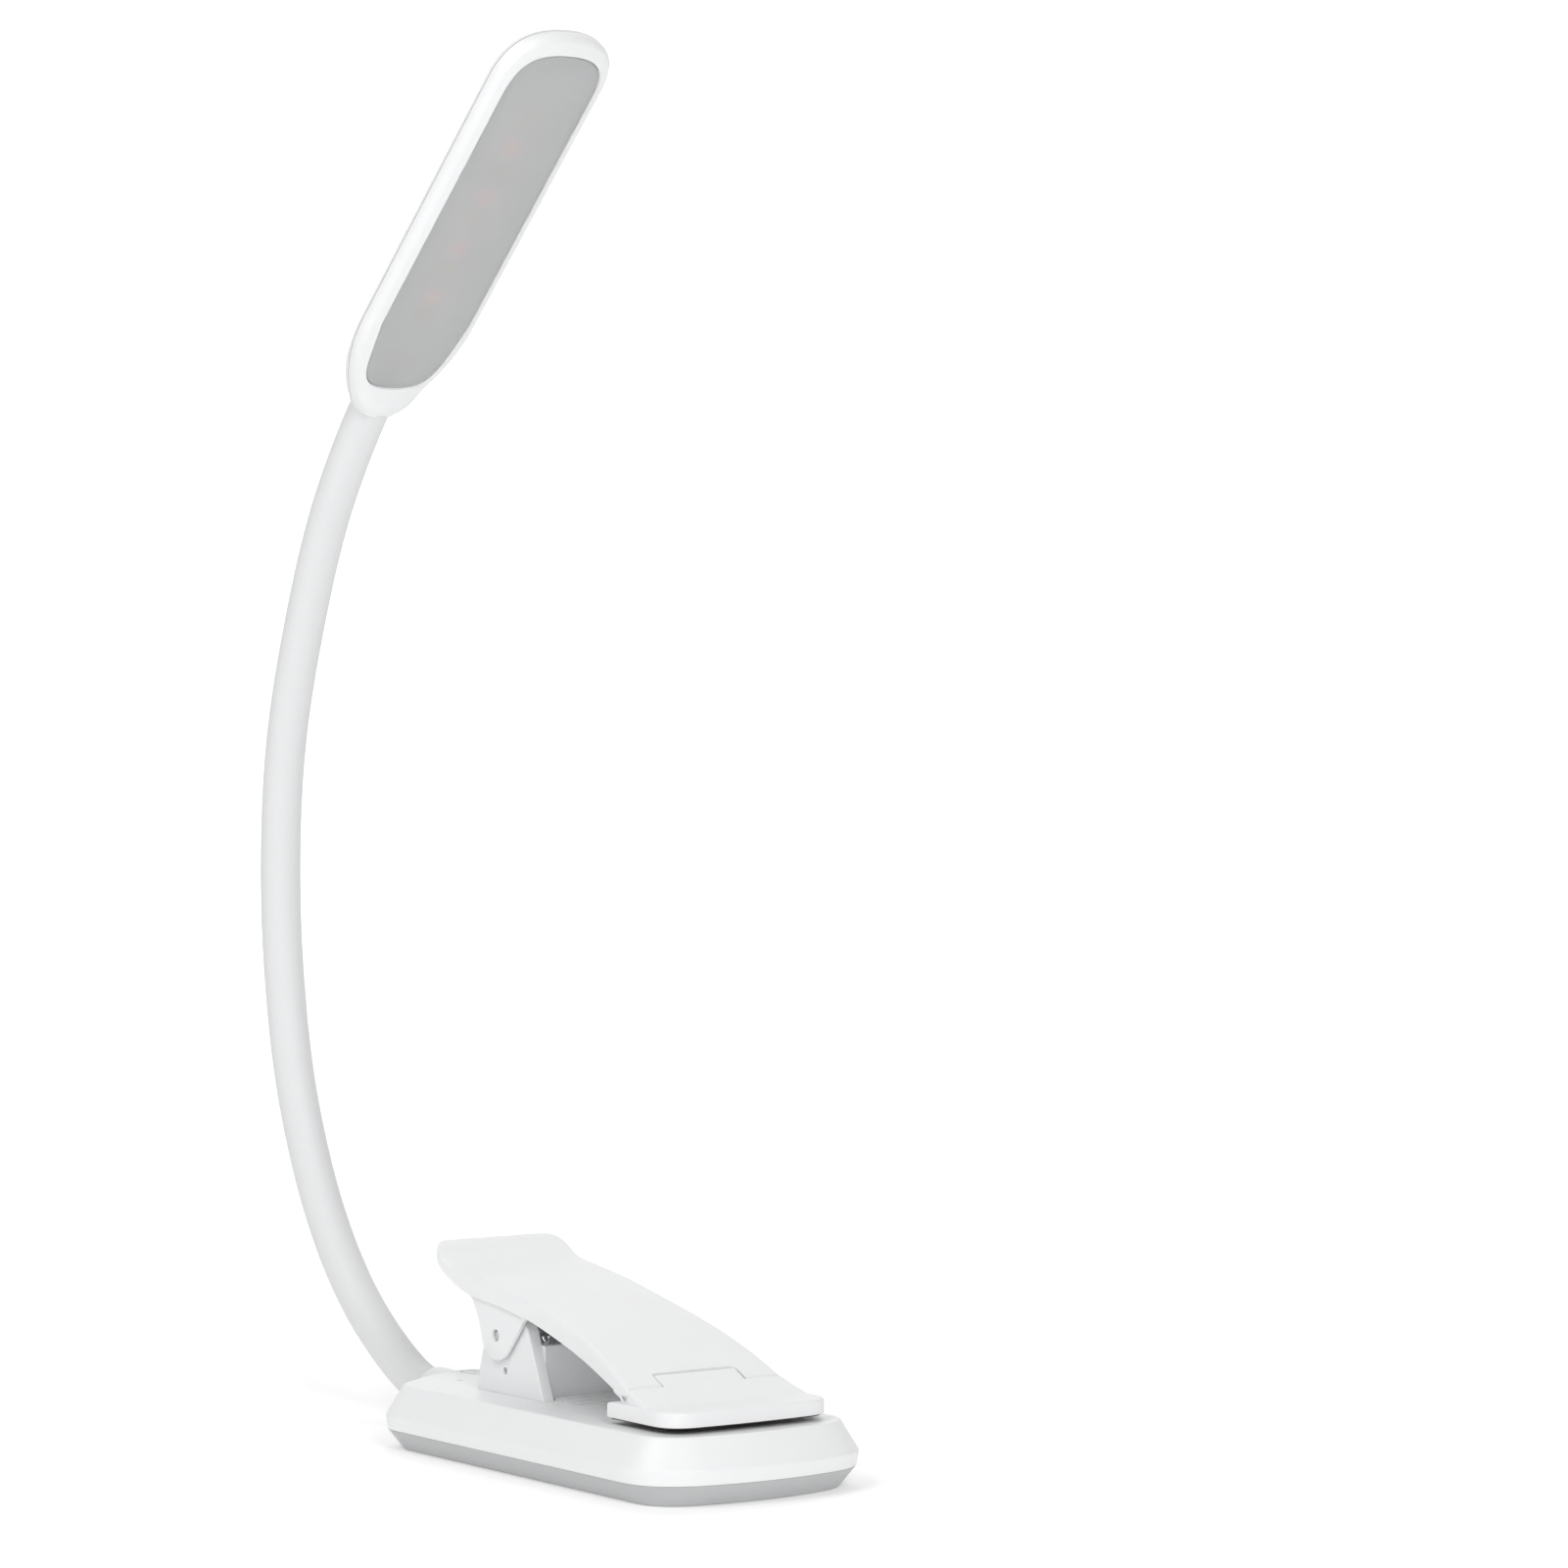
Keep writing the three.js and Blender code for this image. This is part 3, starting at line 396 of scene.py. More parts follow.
def boolean(obj, cutters, operation="DIFFERENCE", angle=32):
    """The cutters are used up."""
    for cutter in cutters:
        modifier = obj.modifiers.new("cut", "BOOLEAN")
        modifier.operation = operation
        modifier.solver = "MANIFOLD"
        modifier.object = cutter
        graph = bpy.context.evaluated_depsgraph_get()
        mesh = bpy.data.meshes.new_from_object(obj.evaluated_get(graph))
        obj.modifiers.clear()
        obj.data = mesh
        bpy.data.objects.remove(cutter)
    keep = obj.data.materials[0]
    obj.data.materials.clear()
    obj.data.materials.append(keep)
    obj.data.polygons.foreach_set("material_index", [0] * len(obj.data.polygons))
    obj.data.shade_smooth()
    obj.data.set_sharp_from_angle(angle=math.radians(angle))
    return obj


def joined(obj, others):
    """One mesh from several closed shells."""
    bm = bmesh.new()
    bm.from_mesh(obj.data)
    for other in others:
        bm.from_mesh(other.data)
        bpy.data.objects.remove(other)
    bm.to_mesh(obj.data)
    bm.free()
    obj.data.set_sharp_from_angle(angle=math.radians(32))
    return obj


def stands_for(obj, body, slot, *nodes):
    """Hands a piece over: it rides on its body and replaces the CAD nodes named."""
    if nodes:
        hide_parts(*nodes)
    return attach(obj, body)


# ------------------------------------------------------------------------ base

BASE_TOP = 12.6
BAND_TOP = 6.85
SEAM = 4.1
SEAM_HALF = 0.03
NECK_Z = 6.5
COLLAR_RADIUS, COLLAR_BORE = 5.4, 4.4
COLLAR_FROM, COLLAR_END = 51, 65.2
SCREWS = [(-19, -36), (19, -36), (-19, 23), (19, 23)]
LIGHTS = [-9.75, -3.25, 3.25, 9.75]
LIGHTS_Y = 41.8
BUTTON_Y = 51
BUTTON_TOP = 12.4
GRIP_HALF, GRIP_FRONT, GRIP_REAR = 9.6, -38, 9.7
GRIP_LOW = 12.05
RIB_WIDTH, RIB_PITCH = 1.1, 3.9
CHEEK_X = 11.8


def base_plan():
    half = chain(
        quad((0, -50), (7, -50), (14, -48.6), 16),
        cubic((14, -48.6), (21, -47.3), (26, -43.2), (26, -36), 20),
        line((26, -36), (26, 40.5), 24),
        quad((26, 40.5), (26, 46), (20.6, 49.4), 14),
        line((20.6, 49.4), (10.5, 55.9), 6),
        quad((10.5, 55.9), (4.7, 58.6), (4.7, 63), 14))
    return mirrored(half)


OUTSIDE = rounded([(4.4, 0), (3.7, 0), (0.4, SEAM), (0, BAND_TOP), (3.6, BASE_TOP), (4.5, BASE_TOP)],
                  [0.4, 0.3, 0.2, 0.35])


def collar():
    radius, length = COLLAR_RADIUS, COLLAR_END - COLLAR_FROM
    profile = rounded([(radius - 1, 0), (radius, 0), (radius, length), (radius - 0.9, length)], 0.35)
    return turned("tube", profile, WHITE, (0, COLLAR_FROM, NECK_Z), ALONG_Y, 64)


def collar_way():
    return turned("bore", [(COLLAR_BORE, 0), (COLLAR_BORE, 16)], WHITE, (0, 54, NECK_Z), ALONG_Y, 64)


def base_body(name, material):
    """Whole outside of the base with its collar, drawn in a little in height towards the neck."""
    obj = stack(name, base_plan(), OUTSIDE, material, angle=24, caps="strips")
    for v in obj.data.vertices:
        y, z = v.co.y / MM, v.co.z / MM
        v.co.z = (NECK_Z + (z - NECK_Z) * (1 - 0.24 * ease((y - COLLAR_FROM) / 12))) * MM
    return boolean(obj, [collar()], "UNION")


def base_room():
    """Hollow of the base."""
    room = stack("room", base_plan(), [(3.1, 1.6), (1.9, 3.3), (1.75, BAND_TOP), (4.3, 10.9)], WHITE)
    return boolean(room, [box("end", -30, 30, 57, 80, -5, 20, WHITE)])


def layer(low, high):
    """Slab wider than the base, which cuts one half of it away."""
    return box("half", -60, 60, -80, 90, low, high, WHITE)


def top_shell():
    well = [(6.1, 8), (6.1, 10.85), (5.15, 10.85), (5.15, 14)]
    tools = [layer(-20, SEAM + SEAM_HALF), base_room()]
    tools.append(turned("well", well, WHITE, (0, BUTTON_Y, 0), ALONG_Z, 72))
    tools += [turned("hole", [(0.65, 8), (0.65, 14)], WHITE, (x, LIGHTS_Y, 0), ALONG_Z, 24) for x in LIGHTS]
    tools += [box("slot", x - 1.42, x + 1.42, 7.4, 30.6, 8, 14, WHITE) for x in (-CHEEK_X, CHEEK_X)]
    tools.append(box("tray", -9.75, 9.75, -38.15, 9.85, 11.9, 14, WHITE))
    tools.append(collar_way())
    tools.append(box("port", 15, 30, 31.2, 40.8, 4.0, 7.5, WHITE))
    shell = boolean(base_body("base_top_shell_fine", WHITE), tools, angle=24)
    return stands_for(shell, "base", "white_shell", "base_top_shell")


def bottom_cover():
    # the cover's greyer plastic is painted shade for the lower chamfer
    cover = base_body("base_bottom_cover_fine", COVER_PAINTED_SHADE)
    cover = boolean(cover, [layer(SEAM - SEAM_HALF, 30), base_room(), collar_way()])
    bosses = [turned("boss", [(3.6, 0.4), (3.6, 3.6)], WHITE, (x, y, 0), ALONG_Z) for x, y in SCREWS]
    cover = boolean(cover, bosses, "UNION")
    seat = [(2.6, -1), (2.6, 2.1), (1.3, 2.1), (1.3, 6)]
    seats = [turned("seat", seat, WHITE, (x, y, 0), ALONG_Z) for x, y in SCREWS]
    cover = boolean(cover, seats, angle=24)
    return stands_for(cover, "base", "white_shell", "base_bottom_cover")


def screws():
    profile = rounded([(0.01, 0.3), (2.15, 0.3), (2.3, 0.9), (2.3, 1.8), (0.95, 1.8), (0.95, 8.6), (0.01, 8.6)],
                      0.12, 3)
    for i, (x, y) in enumerate(SCREWS):
        screw = turned(f"cover_screw_{i + 1}_fine", profile, STEEL, (x, y, 0), ALONG_Z, 32)
        slots = [box("slot", x - a, x + a, y - b, y + b, 0, 1.1, STEEL) for a, b in ((1.5, 0.28), (0.28, 1.5))]
        stands_for(boolean(screw, slots), "base", "steel", f"cover_screw_{i + 1}")


def light_pipes():
    profile = rounded([(0.01, 4.95), (0.6, 4.95), (0.6, 12.54), (0.01, 12.54)], 0.1, 4)
    for i, x in enumerate(LIGHTS):
        pipe = turned(f"light_pipe_{i + 1}_fine", profile, PIPE, (x, LIGHTS_Y, 0), ALONG_Z, 24)
        stands_for(pipe, "base", "clear_pipe", f"light_pipe_{i + 1}")


def grip_pad():
    pad = box("grip_pad_fine", -GRIP_HALF, GRIP_HALF, GRIP_FRONT, GRIP_REAR, GRIP_LOW, BASE_TOP, GRIP, 0.12)
    ribs = []
    across, half, foot = slab_profile(-GRIP_HALF, GRIP_HALF, 0.15, 2), RIB_WIDTH / 2, 12.3
    y = GRIP_REAR
    while y > GRIP_FRONT + RIB_WIDTH:
        section = chain(line((y - RIB_WIDTH, foot), (y, foot)), line((y, foot), (y, BASE_TOP)),
                        arc(y - half, 12.45, half, 0.27, math.pi - 0.27, 8))
        ribs.append(stack("rib", section, across, GRIP, place=sideways))
        y -= RIB_PITCH
    stands_for(joined(pad, ribs), "base", "soft_white", "grip_pad")


def mark_shapes():
    """Plain upright cell with a nub and a spark, as separate thin strokes of width w."""
    w = 0.32
    return [
        [(-1.7, -2.3), (1.7, -2.3), (1.7, -2.3 + w), (-1.7, -2.3 + w)],
        [(-1.7, 3.3 - w), (1.7, 3.3 - w), (1.7, 3.3), (-1.7, 3.3)],
        [(-1.7, -2.3 + w), (-1.7 + w, -2.3 + w), (-1.7 + w, 3.3 - w), (-1.7, 3.3 - w)],
        [(1.7 - w, -2.3 + w), (1.7, -2.3 + w), (1.7, 3.3 - w), (1.7 - w, 3.3 - w)],
        [(-0.85, -2.95), (0.85, -2.95), (0.85, -2.62), (-0.85, -2.62)],
        [(0.25, -1.5), (0.5, -1.4), (-0.25, 0.35), (-0.5, 0.25)],
        [(-0.5, 0.25), (0.5, 0.25), (0.5, 0.5), (-0.5, 0.5)],
        [(0.25, 0.4), (0.5, 0.5), (-0.25, 2.3), (-0.5, 2.2)]]


def button():
    top = BUTTON_TOP
    profile = rounded(
        [(0.01, 9.9), (5.65, 9.9), (5.65, 10.7), (4.88, 10.7), (4.88, top), (4.2, top), (2.2, top - 0.16),
         (0.01, top - 0.2)],
        [0.1, 0.1, 0.1, 0.28, 0.4, 0.5], 5)
    cap = turned("button_cap_fine", profile, WHITE_KEY, (0, BUTTON_Y, 0), ALONG_Z, 72)
    grooves = []
    groove_shade = None
    for shape in mark_shapes():
        moved = [(x, y + BUTTON_Y) for x, y in shape]
        grooves.append(stack("groove", moved, [(-0.02, 11.85), (-0.02, 13)], WHITE_KEY))
        # a thin grey sheet at each groove's bottom, as painted shade in the engraved symbol
        piece = stack("mark", moved, [(0, 11.8), (0, 12.02)], GROOVE_SHADE_GREY)
        groove_shade = piece if groove_shade is None else joined(groove_shade, [piece])
    groove_shade.name = "button_groove_shade"
    stands_for(boolean(cap, grooves), "button", "key_white", "button_cap")
    stands_for(groove_shade, "button", "key_white")


# ------------------------------------------------------------------------ clip

# Places of pins and of what turns on them, as (y, z).
PIVOT = (22.2, 23.9)
REST_PIN = (20.7, 17.1)
JAW_PIN = (-25.1, 17.8)
LUG_X = 16.55


def cross_pin(name, place, radius, reach, node, body="base"):
    profile = rounded([(0.01, -reach), (radius, -reach), (radius, reach), (0.01, reach)], radius * 0.3, 4)
    pin = turned(name, profile, STEEL, (0, *place), ALONG_X, 40)
    stands_for(pin, body, "steel", node)


def cross_hole(place, radius, n):
    return turned("hole", [(radius, -20), (radius, 20)], WHITE, (0, *place), ALONG_X, n)


def post_outline():
    y, z = PIVOT
    return chain(
        [(7.6, 9.4), (30.4, 9.4), (30.4, 13.4)],
        quad((30.4, 13.4), (29.6, 17.6), (28.6, 20.6), 6),
        arc(y, z, 5.6, -0.3, 1.1, 20),
        line((24.7, 28.9), (17.2, 27.9)),
        quad((15.6, 27.6), (13.8, 27.3), (12.9, 25.4), 8),
        [(7.6, 12.6)])


def bracket():
    cheeks = []
    for x in (-CHEEK_X, CHEEK_X):
        cheek = plate("cheek", post_outline(), x - 1.3, x + 1.3, 0.3, WHITE, place=sideways)
        cheeks.append(boolean(cheek, [cross_hole(PIVOT, 1.2, 32), cross_hole(REST_PIN, 0.72, 32)]))
    foot = box("foot", -13.1, 13.1, 8, 30, 9.4, 10.6, WHITE, 0.2)
    wall = box("wall", -10.7, 10.7, 10.4, 11.4, BASE_TOP + 0.12, 22.8, WHITE, 0.12)
    cheeks[0].name = "clip_bracket_fine"
    obj = joined(cheeks[0], [cheeks[1], foot, wall])
    stands_for(obj, "base", "white_shell", "clip_bracket")


# Lever's lines seen from the side, as (y, z) from its rear lip to the seam with the jaw.
LEVER_TOP = [
    (44.8, 40.25), (43.2, 39.75), (40.3, 37.9), (37.6, 36.45), (34.8, 35.75), (30.5, 35.15), (23.6, 34.2),
    (16.8, 33.05), (10.2, 31.7), (3.3, 30.1), (-3.7, 28.35), (-10.8, 26.2), (-18.1, 23.45), (-22.8, 21.3),
    (-26.6, 19.35)]
LEVER_BOTTOM = [
    (44.8, 38.95), (43.4, 37.85), (41.2, 35.6), (37.6, 33.4), (33.9, 31.8), (29.8, 30.7), (23.5, 30), (16.7, 29),
    (10.1, 27.8), (3.3, 26.1), (-3.7, 24.2), (-10.8, 22.1), (-16.5, 20.2), (-20.3, 18.9), (-23.4, 17.9),
    (-26.6, 17.85)]
LEVER_SEAM = -26.6
LEVER_REAR = 44.8
LEVER_HALF = 15.35
LEVER_CORNER = 4.5
LEVER_ROOF = 1.6
LEVER_SIDE = 1.35
WAIST_Y, WAIST_HALF = 12, 14.8
EAR_SET_BACK = 0.6


def height_of(points):
    """Height as a function of y."""
    p = smooth_line(points, 10)
    p = p[np.argsort(p[:, 0])]
    return lambda y: float(np.interp(y, p[:, 0], p[:, 1]))


def ear_bottom():
    """Lower edge of the ears, as an array of (y, z) in order of y."""
    y, z = PIVOT
    run = chain(
        quad((11.6, 28.15), (13, 27.6), (13.9, 26.2), 10),
        line((13.9, 26.2), (18.38, 20.83), 12),
        arc(y, z, 4.88, -2.45, -0.35, 24),
        quad((26.8, 22.2), (27.4, 26.2), (30.8, 30.9), 14)[1:])
    return np.array(sorted(run))


def lever_width(y):
    """Half the lever's width: round rear corners, then a taper to the waist, then a flare."""
    rear, corner = LEVER_REAR, LEVER_CORNER
    if y > rear - corner:
        return LEVER_HALF - corner + math.sqrt(max(corner ** 2 - (y - rear + corner) ** 2, 0))
    if y > WAIST_Y:
        return WAIST_HALF + 0.55 * (y - WAIST_Y) / (rear - corner - WAIST_Y)
    p = np.array(cubic((17.7, LEVER_SEAM), (16.2, -14), (WAIST_HALF, -4), (WAIST_HALF, WAIST_Y), 40))
    return float(np.interp(y, p[:, 1], p[:, 0]))


def lever_section(y, top, wall, bottom, ceiling, shrink=0.0):
    """Upside-down channel, as a closed ring from its outer right foot round to its inner one.
    Where the ear hangs below the side wall, its outer face is set back from the wall."""
    w = lever_width(y) - shrink
    t, b = top - shrink, bottom + shrink
    ear = w - EAR_SET_BACK * ease((wall - bottom) / 0.6)
    inner = w - LEVER_SIDE + shrink
    deep = max(ceiling - b, 0.02)
    r = min(0.95, (t - b) / 2.2)
    ri = min(0.5, deep / 2.2)
    foot = 0.22
    right = chain(
        quad((inner + foot, b), (ear, b), (ear, b + foot), 3),
        line((ear, b + foot), (ear, max(wall, b + foot + 0.02)), 3),
        line((w, max(wall, b + foot + 0.02) + 0.12), (w, t - r), 3),
        quad((w, t - r), (w, t), (w - r, t), 6))
    roof = line((w - r, t), (-(w - r), t), 14)[1:-1]
    left = [(-x, z) for x, z in reversed(right)]
    under = chain(
        line((-inner, b + 0.01), (-inner, b + deep - ri), 3),
        quad((-inner, b + deep - ri), (-inner, b + deep), (-inner + ri, b + deep), 4))
    flat = line((-inner + ri, b + deep), (inner - ri, b + deep), 14)[1:-1]
    back = [(-x, z) for x, z in reversed(under)]
    return [(x, y, z) for x, z in right + roof + left + under + flat + back]


def lever():
    top, low, ear = height_of(LEVER_TOP), height_of(LEVER_BOTTOM), ear_bottom()
    ys = list(np.linspace(LEVER_SEAM + 0.25, 40, 90)) + list(np.linspace(40, LEVER_REAR - 0.25, 14))
    ys = sorted(set(round(float(y), 4) for y in ys + [p[0] for p in ear]))
    ys = [y for i, y in enumerate(ys) if i == 0 or y - ys[i - 1] > 0.04]

    def section(y, shrink=0.0):
        t, b = top(y), low(y)
        wall, roof = b, t - LEVER_ROOF
        if ear[0, 0] < y < ear[-1, 0]:
            b = min(b, float(np.interp(y, ear[:, 0], ear[:, 1])))
        # the channel closes up into a solid lip towards the rear
        ceiling = roof + (wall - roof) * ease((y - 33) / 3.2)
        return lever_section(y, t, wall, b, ceiling, shrink)

    rings = [[(x, LEVER_SEAM, z) for x, _, z in section(LEVER_SEAM, 0.2)]]
    rings += [section(y) for y in ys]
    rings.append([(x, LEVER_REAR, z) for x, _, z in section(LEVER_REAR - 0.12, 0.25)])
    obj = skin("lever_fine", rings, WHITE, angle=28)
    half, back = 9.72, -22.8
    notch = chain([(-half, -40), (half, -40)], quad((half, back - 1.2), (half, back), (half - 1.2, back), 6),
                  quad((-half + 1.2, back), (-half, back), (-half, back - 1.2), 6))
    tools = [stack("notch", notch, [(0, 8), (0, 40)], WHITE), cross_hole(PIVOT, 1.2, 40)]
    obj = boolean(obj, tools, angle=28)
    lug_outline = chain(arc(*JAW_PIN, 1.5, math.pi * 0.62, math.pi * 1.9, 20),
                        [(-21.5, 18.3), (-21.5, 20.2), (-25.6, 18.8)])
    lugs = []
    for x in (-LUG_X, LUG_X):
        lug = plate("lug", lug_outline, x - 0.65, x + 0.65, 0.2, WHITE, place=sideways)
        lugs.append(boolean(lug, [cross_hole(JAW_PIN, 0.78, 24)]))
    stands_for(joined(obj, lugs), "lever", "white_shell", "lever")


def jaw_plan():
    half = chain(
        quad((0, -42.8), (7, -42.8), (12.9, -42.35), 8),
        quad((12.9, -42.35), (18.9, -41.9), (18.9, -36.3), 14),
        line((18.9, -36.3), (18.9, -22), 8),
        line((18.9, -22), (0, -22), 4))
    return mirrored(half)


def ridge(y, half, low, top, r=0.7, shrink=0.0):
    """Section of the jaw's heel or tongue at y: flat top with rounded corners."""
    w, t = half - shrink, top - shrink
    right = chain([(w, low)], quad((w, t - r), (w, t), (w - r, t), 6))
    roof = line((w - r, t), (r - w, t), 10)[1:-1]
    return [(x, y, z) for x, z in right + roof + [(-x, z) for x, z in reversed(right)]]


def jaw():
    plate_profile = rounded([(0.5, 13.8), (0, 13.8), (0, 16.7), (1.2, 16.7)], [0.25, 0.7], 6)
    body = stack("jaw_plate_fine", jaw_plan(), plate_profile, WHITE)
    rise = smooth_line(
        [(-35.5, 16.3), (-34.2, 16.6), (-33, 16.95), (-31.7, 17.45), (-29, 18.4), (-26.9, 19.25)], 6)
    rings = []
    for y, t in rise:
        edge = min(max((y + 33.3) / 6.4, 0), 1)
        rings.append(ridge(y, 18.88 - 1.1 * edge, 15.2, t))
    rings.append(ridge(-26.78, 17.6, 15.2, 19.1))
    heel = skin("heel", rings, WHITE)
    tongue_top = smooth_line([(-27.4, 19.0), (-26.9, 19.25), (-25, 20.2), (-23.45, 20.92)], 5)
    rings = [ridge(y, 9.3, 17.6, t, 0.3) for y, t in tongue_top] + [ridge(-23.25, 9.1, 17.6, 20.8, 0.3, 0.15)]
    tongue = skin("tongue", rings, WHITE)
    knuckle_profile = rounded([(0.01, -9.2), (1.7, -9.2), (1.7, 9.2), (0.01, 9.2)], 0.2, 2)
    knuckle = turned("knuckle", knuckle_profile, WHITE, (0, *JAW_PIN), ALONG_X, 32)
    web = box("web", -9.2, 9.2, -26.9, -23.6, 15, 18, WHITE)
    rooms = [box("room", x - 0.95, x + 0.95, -27, -21, 15.7, 30, WHITE) for x in (-LUG_X, LUG_X)]
    heel = boolean(heel, rooms)
    stands_for(joined(body, [heel, tongue, knuckle, web]), "jaw", "white_shell", "jaw_plate")
    pad_profile = rounded([(0.9, 13.5), (0, 13.5), (0, 13.82), (0.5, 13.82)], [0.14, 0.1])
    pad = stack("jaw_pad_fine", inset(jaw_plan(), 0.6), pad_profile, PAD)
    stands_for(pad, "jaw", "pad_rubber", "jaw_pad")


def spring():
    """Close coil round the pivot pin, one leg down to the base and one up under the lever."""
    wire, coil, turns, length, per_turn = 0.45, 2.6, 6, 8, 16
    y0, z0 = PIVOT
    points = [(-length / 2 - 0.6, 30.2, 13.6), (-length / 2 - 0.3, 27.4, 18.6)]
    for i in range(turns * per_turn + 1):
        a = -0.9 + i / per_turn * math.pi * 2
        x = -length / 2 + length * i / (turns * per_turn)
        points.append((x, y0 + coil * math.cos(a), z0 + coil * math.sin(a)))
    points += [(length / 2 + 0.4, 25.6, 26.6), (length / 2 + 0.6, 30.4, 29.6)]
    obj = swept("clip_spring_fine", smooth_line(points, 3), wire, WIRE, n=12, caps=True)
    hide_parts("clip_spring")
    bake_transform(obj)


# ------------------------------------------------------------------------ neck

NECK_POINTS = [
    (0, 57.4, NECK_Z), (0, 64.8, NECK_Z), (-0.1, 75.6, 9.8), (-0.7, 92.9, 22.2), (-1.8, 105.4, 39.4),
    (-3.5, 114, 63.5), (-5.4, 116.5, 88.1), (-7.1, 115.5, 112.9), (-8.5, 111.2, 137.6), (-9.3, 102.9, 162),
    (-9.4, 92.1, 186), (-8.53, 78.6, 206.66), (-7.63, 70.78, 215.7)]
NECK_RADIUS = 4.15
SLEEVE_START = 3.2
SLEEVE_LEFT = 9.5  # length of the neck's line past the end of the sleeve, in the head
LAST_BEND = 6


def neck():
    """Smooth sleeve in one length for each bend, meeting half way between bends."""
    fine = smooth_line(NECK_POINTS, 60)
    lengths = np.concatenate([[0], np.cumsum(np.linalg.norm(np.diff(fine, axis=0), axis=1))])

    def at(s):
        return np.array([np.interp(s, lengths, fine[:, k]) for k in range(3)])

    bends = [j for j in frame["joints"] if j["name"].startswith("neck_bend")]
    places = [lengths[np.argmin(np.linalg.norm(fine - np.array(j["pos_m"]) / MM, axis=1))] for j in bends]
    halfway = [(a + b) / 2 for a, b in zip(places, places[1:])]
    ends = [SLEEVE_START] + halfway + [lengths[-1] - SLEEVE_LEFT]
    for k, (joint, place) in enumerate(zip(bends, places)):
        count = int((ends[k + 1] - ends[k]) / 0.8)
        centres = [at(s) for s in np.linspace(ends[k], ends[k + 1], count)]
        tube = swept(f"neck_sleeve_bend_{k + 1}", centres, NECK_RADIUS, SLEEVE, n=48)
        covered = [f"neck_sleeve_{k + 1}"] if k < LAST_BEND else ["neck_sleeve_tip"]
        if k == 0:
            covered.append("neck_sleeve_root")
        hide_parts(*covered)
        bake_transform(tube)


# ------------------------------------------------------------------------ head
# Drawn flat: x across, y from the neck to the tip, z out of the lit face.

AXIS = -3.35  # height of the neck's middle line in the head
SHELL_FRONT, SHELL_BACK = -3.07, -3.33  # edges of the two shells at their seam
HEAD_PLACE = (-8.05, 76.12, 204.46)
HEAD_TURNS = [(6.57, "Z"), (41.05, "X"), (3.28, "Z"), (90, "X")]
LED_PLACES = [23.9, 28.6, 35.8, 40.9, 48.2, 53.3, 59.2, 65.2, 72.6]
PEG_PLACES = [(-9.4, 38.5), (9.4, 39.5), (-9.4, 65), (9.4, 66.5), (0, 88.2)]


def head_matrix():
    matrix = Matrix.Translation(Vector(HEAD_PLACE) * MM)
    for degrees, axis in HEAD_TURNS:
        matrix = matrix @ Matrix.Rotation(math.radians(degrees), 4, axis)
    return matrix


def head_plan():
    half = chain(
        line((0, -6), (4.7, -6)),
        line((4.7, -6), (4.7, 0), 3),
        cubic((4.7, 0), (9.9, 5.6), (14.2, 13.5), (14.2, 22), 30),
        line((14.2, 22), (14.4, 80.7), 24),
        cubic((14.4, 80.7), (14.4, 89.5), (8.6, 92.42), (0, 92.42), 32))
    return mirrored(half)


def lens_plan(grow=0.0):
    half = chain(
        cubic((0, 7), (9.2, 7), (9.6, 9.4), (11.6, 23), 24),
        line((11.6, 23), (11.65, 79), 16),
        cubic((11.65, 79), (11.65, 86.1), (8.2, 88.4), (0, 88.4), 24))
    return inset(mirrored(half), -grow)


def head_shell(name):
    """Rounded slab whose neck end swells into a round socket."""
    front = rounded([(0, -2.4), (0, -1.55), (0.9, -0.55), (2.65, 0)], [0.8, 0.3], 6)
    back = [(min(5.0 * (1 - math.cos(a)), 4.4), -3.2 - 2.4 * math.sin(a)) for a in np.linspace(math.pi / 2, 0, 14)]
    obj = stack(name, head_plan(), back + front, WHITE, angle=40, caps="strips")
    middle = 2.8
    for v in obj.data.vertices:
        y, z = v.co.y / MM, v.co.z / MM
        if z > -middle:
            swell = 1.15 * (0.5 + 0.5 * ease(y / 1.4)) * (1 - ease((y - 2.8) / 4))
        else:
            swell = 2.4 * (1 - ease((y - 3) / 17))
        z += swell * (z + middle) / middle
        v.co.y, v.co.z = max(y, 0) * MM, z * MM
    bm = bmesh.new()
    bm.from_mesh(obj.data)
    bmesh.ops.remove_doubles(bm, verts=bm.verts, dist=1e-6)
    bmesh.ops.recalc_face_normals(bm, faces=bm.faces)
    bm.to_mesh(obj.data)
    bm.free()
    return obj


def head_room():
    """Hollow of the head."""
    plan = inset(head_plan(), 1.3)
    room = stack("room", plan, [(0.6, -4.3), (0, -3.4), (0, -1.2)], WHITE)
    return boolean(room, [box("end", -30, 30, -20, 11, -20, 20, WHITE)])


def neck_way():
    """Socket for the sleeve, bore for the core and seat for the clamp."""
    return [turned("way", [(radius, y0), (radius, y1)], WHITE, (0, 0, AXIS), ALONG_Y, 48)
            for radius, y0, y1 in ((4.22, -4, 3.2), (1.75, -4, 12), (2.4, 11, 14.2))]


def in_place(obj, slot, node):
    """Turns a piece drawn flat into the head's place."""
    obj.data.transform(head_matrix())
    stands_for(obj, "head", slot, node)


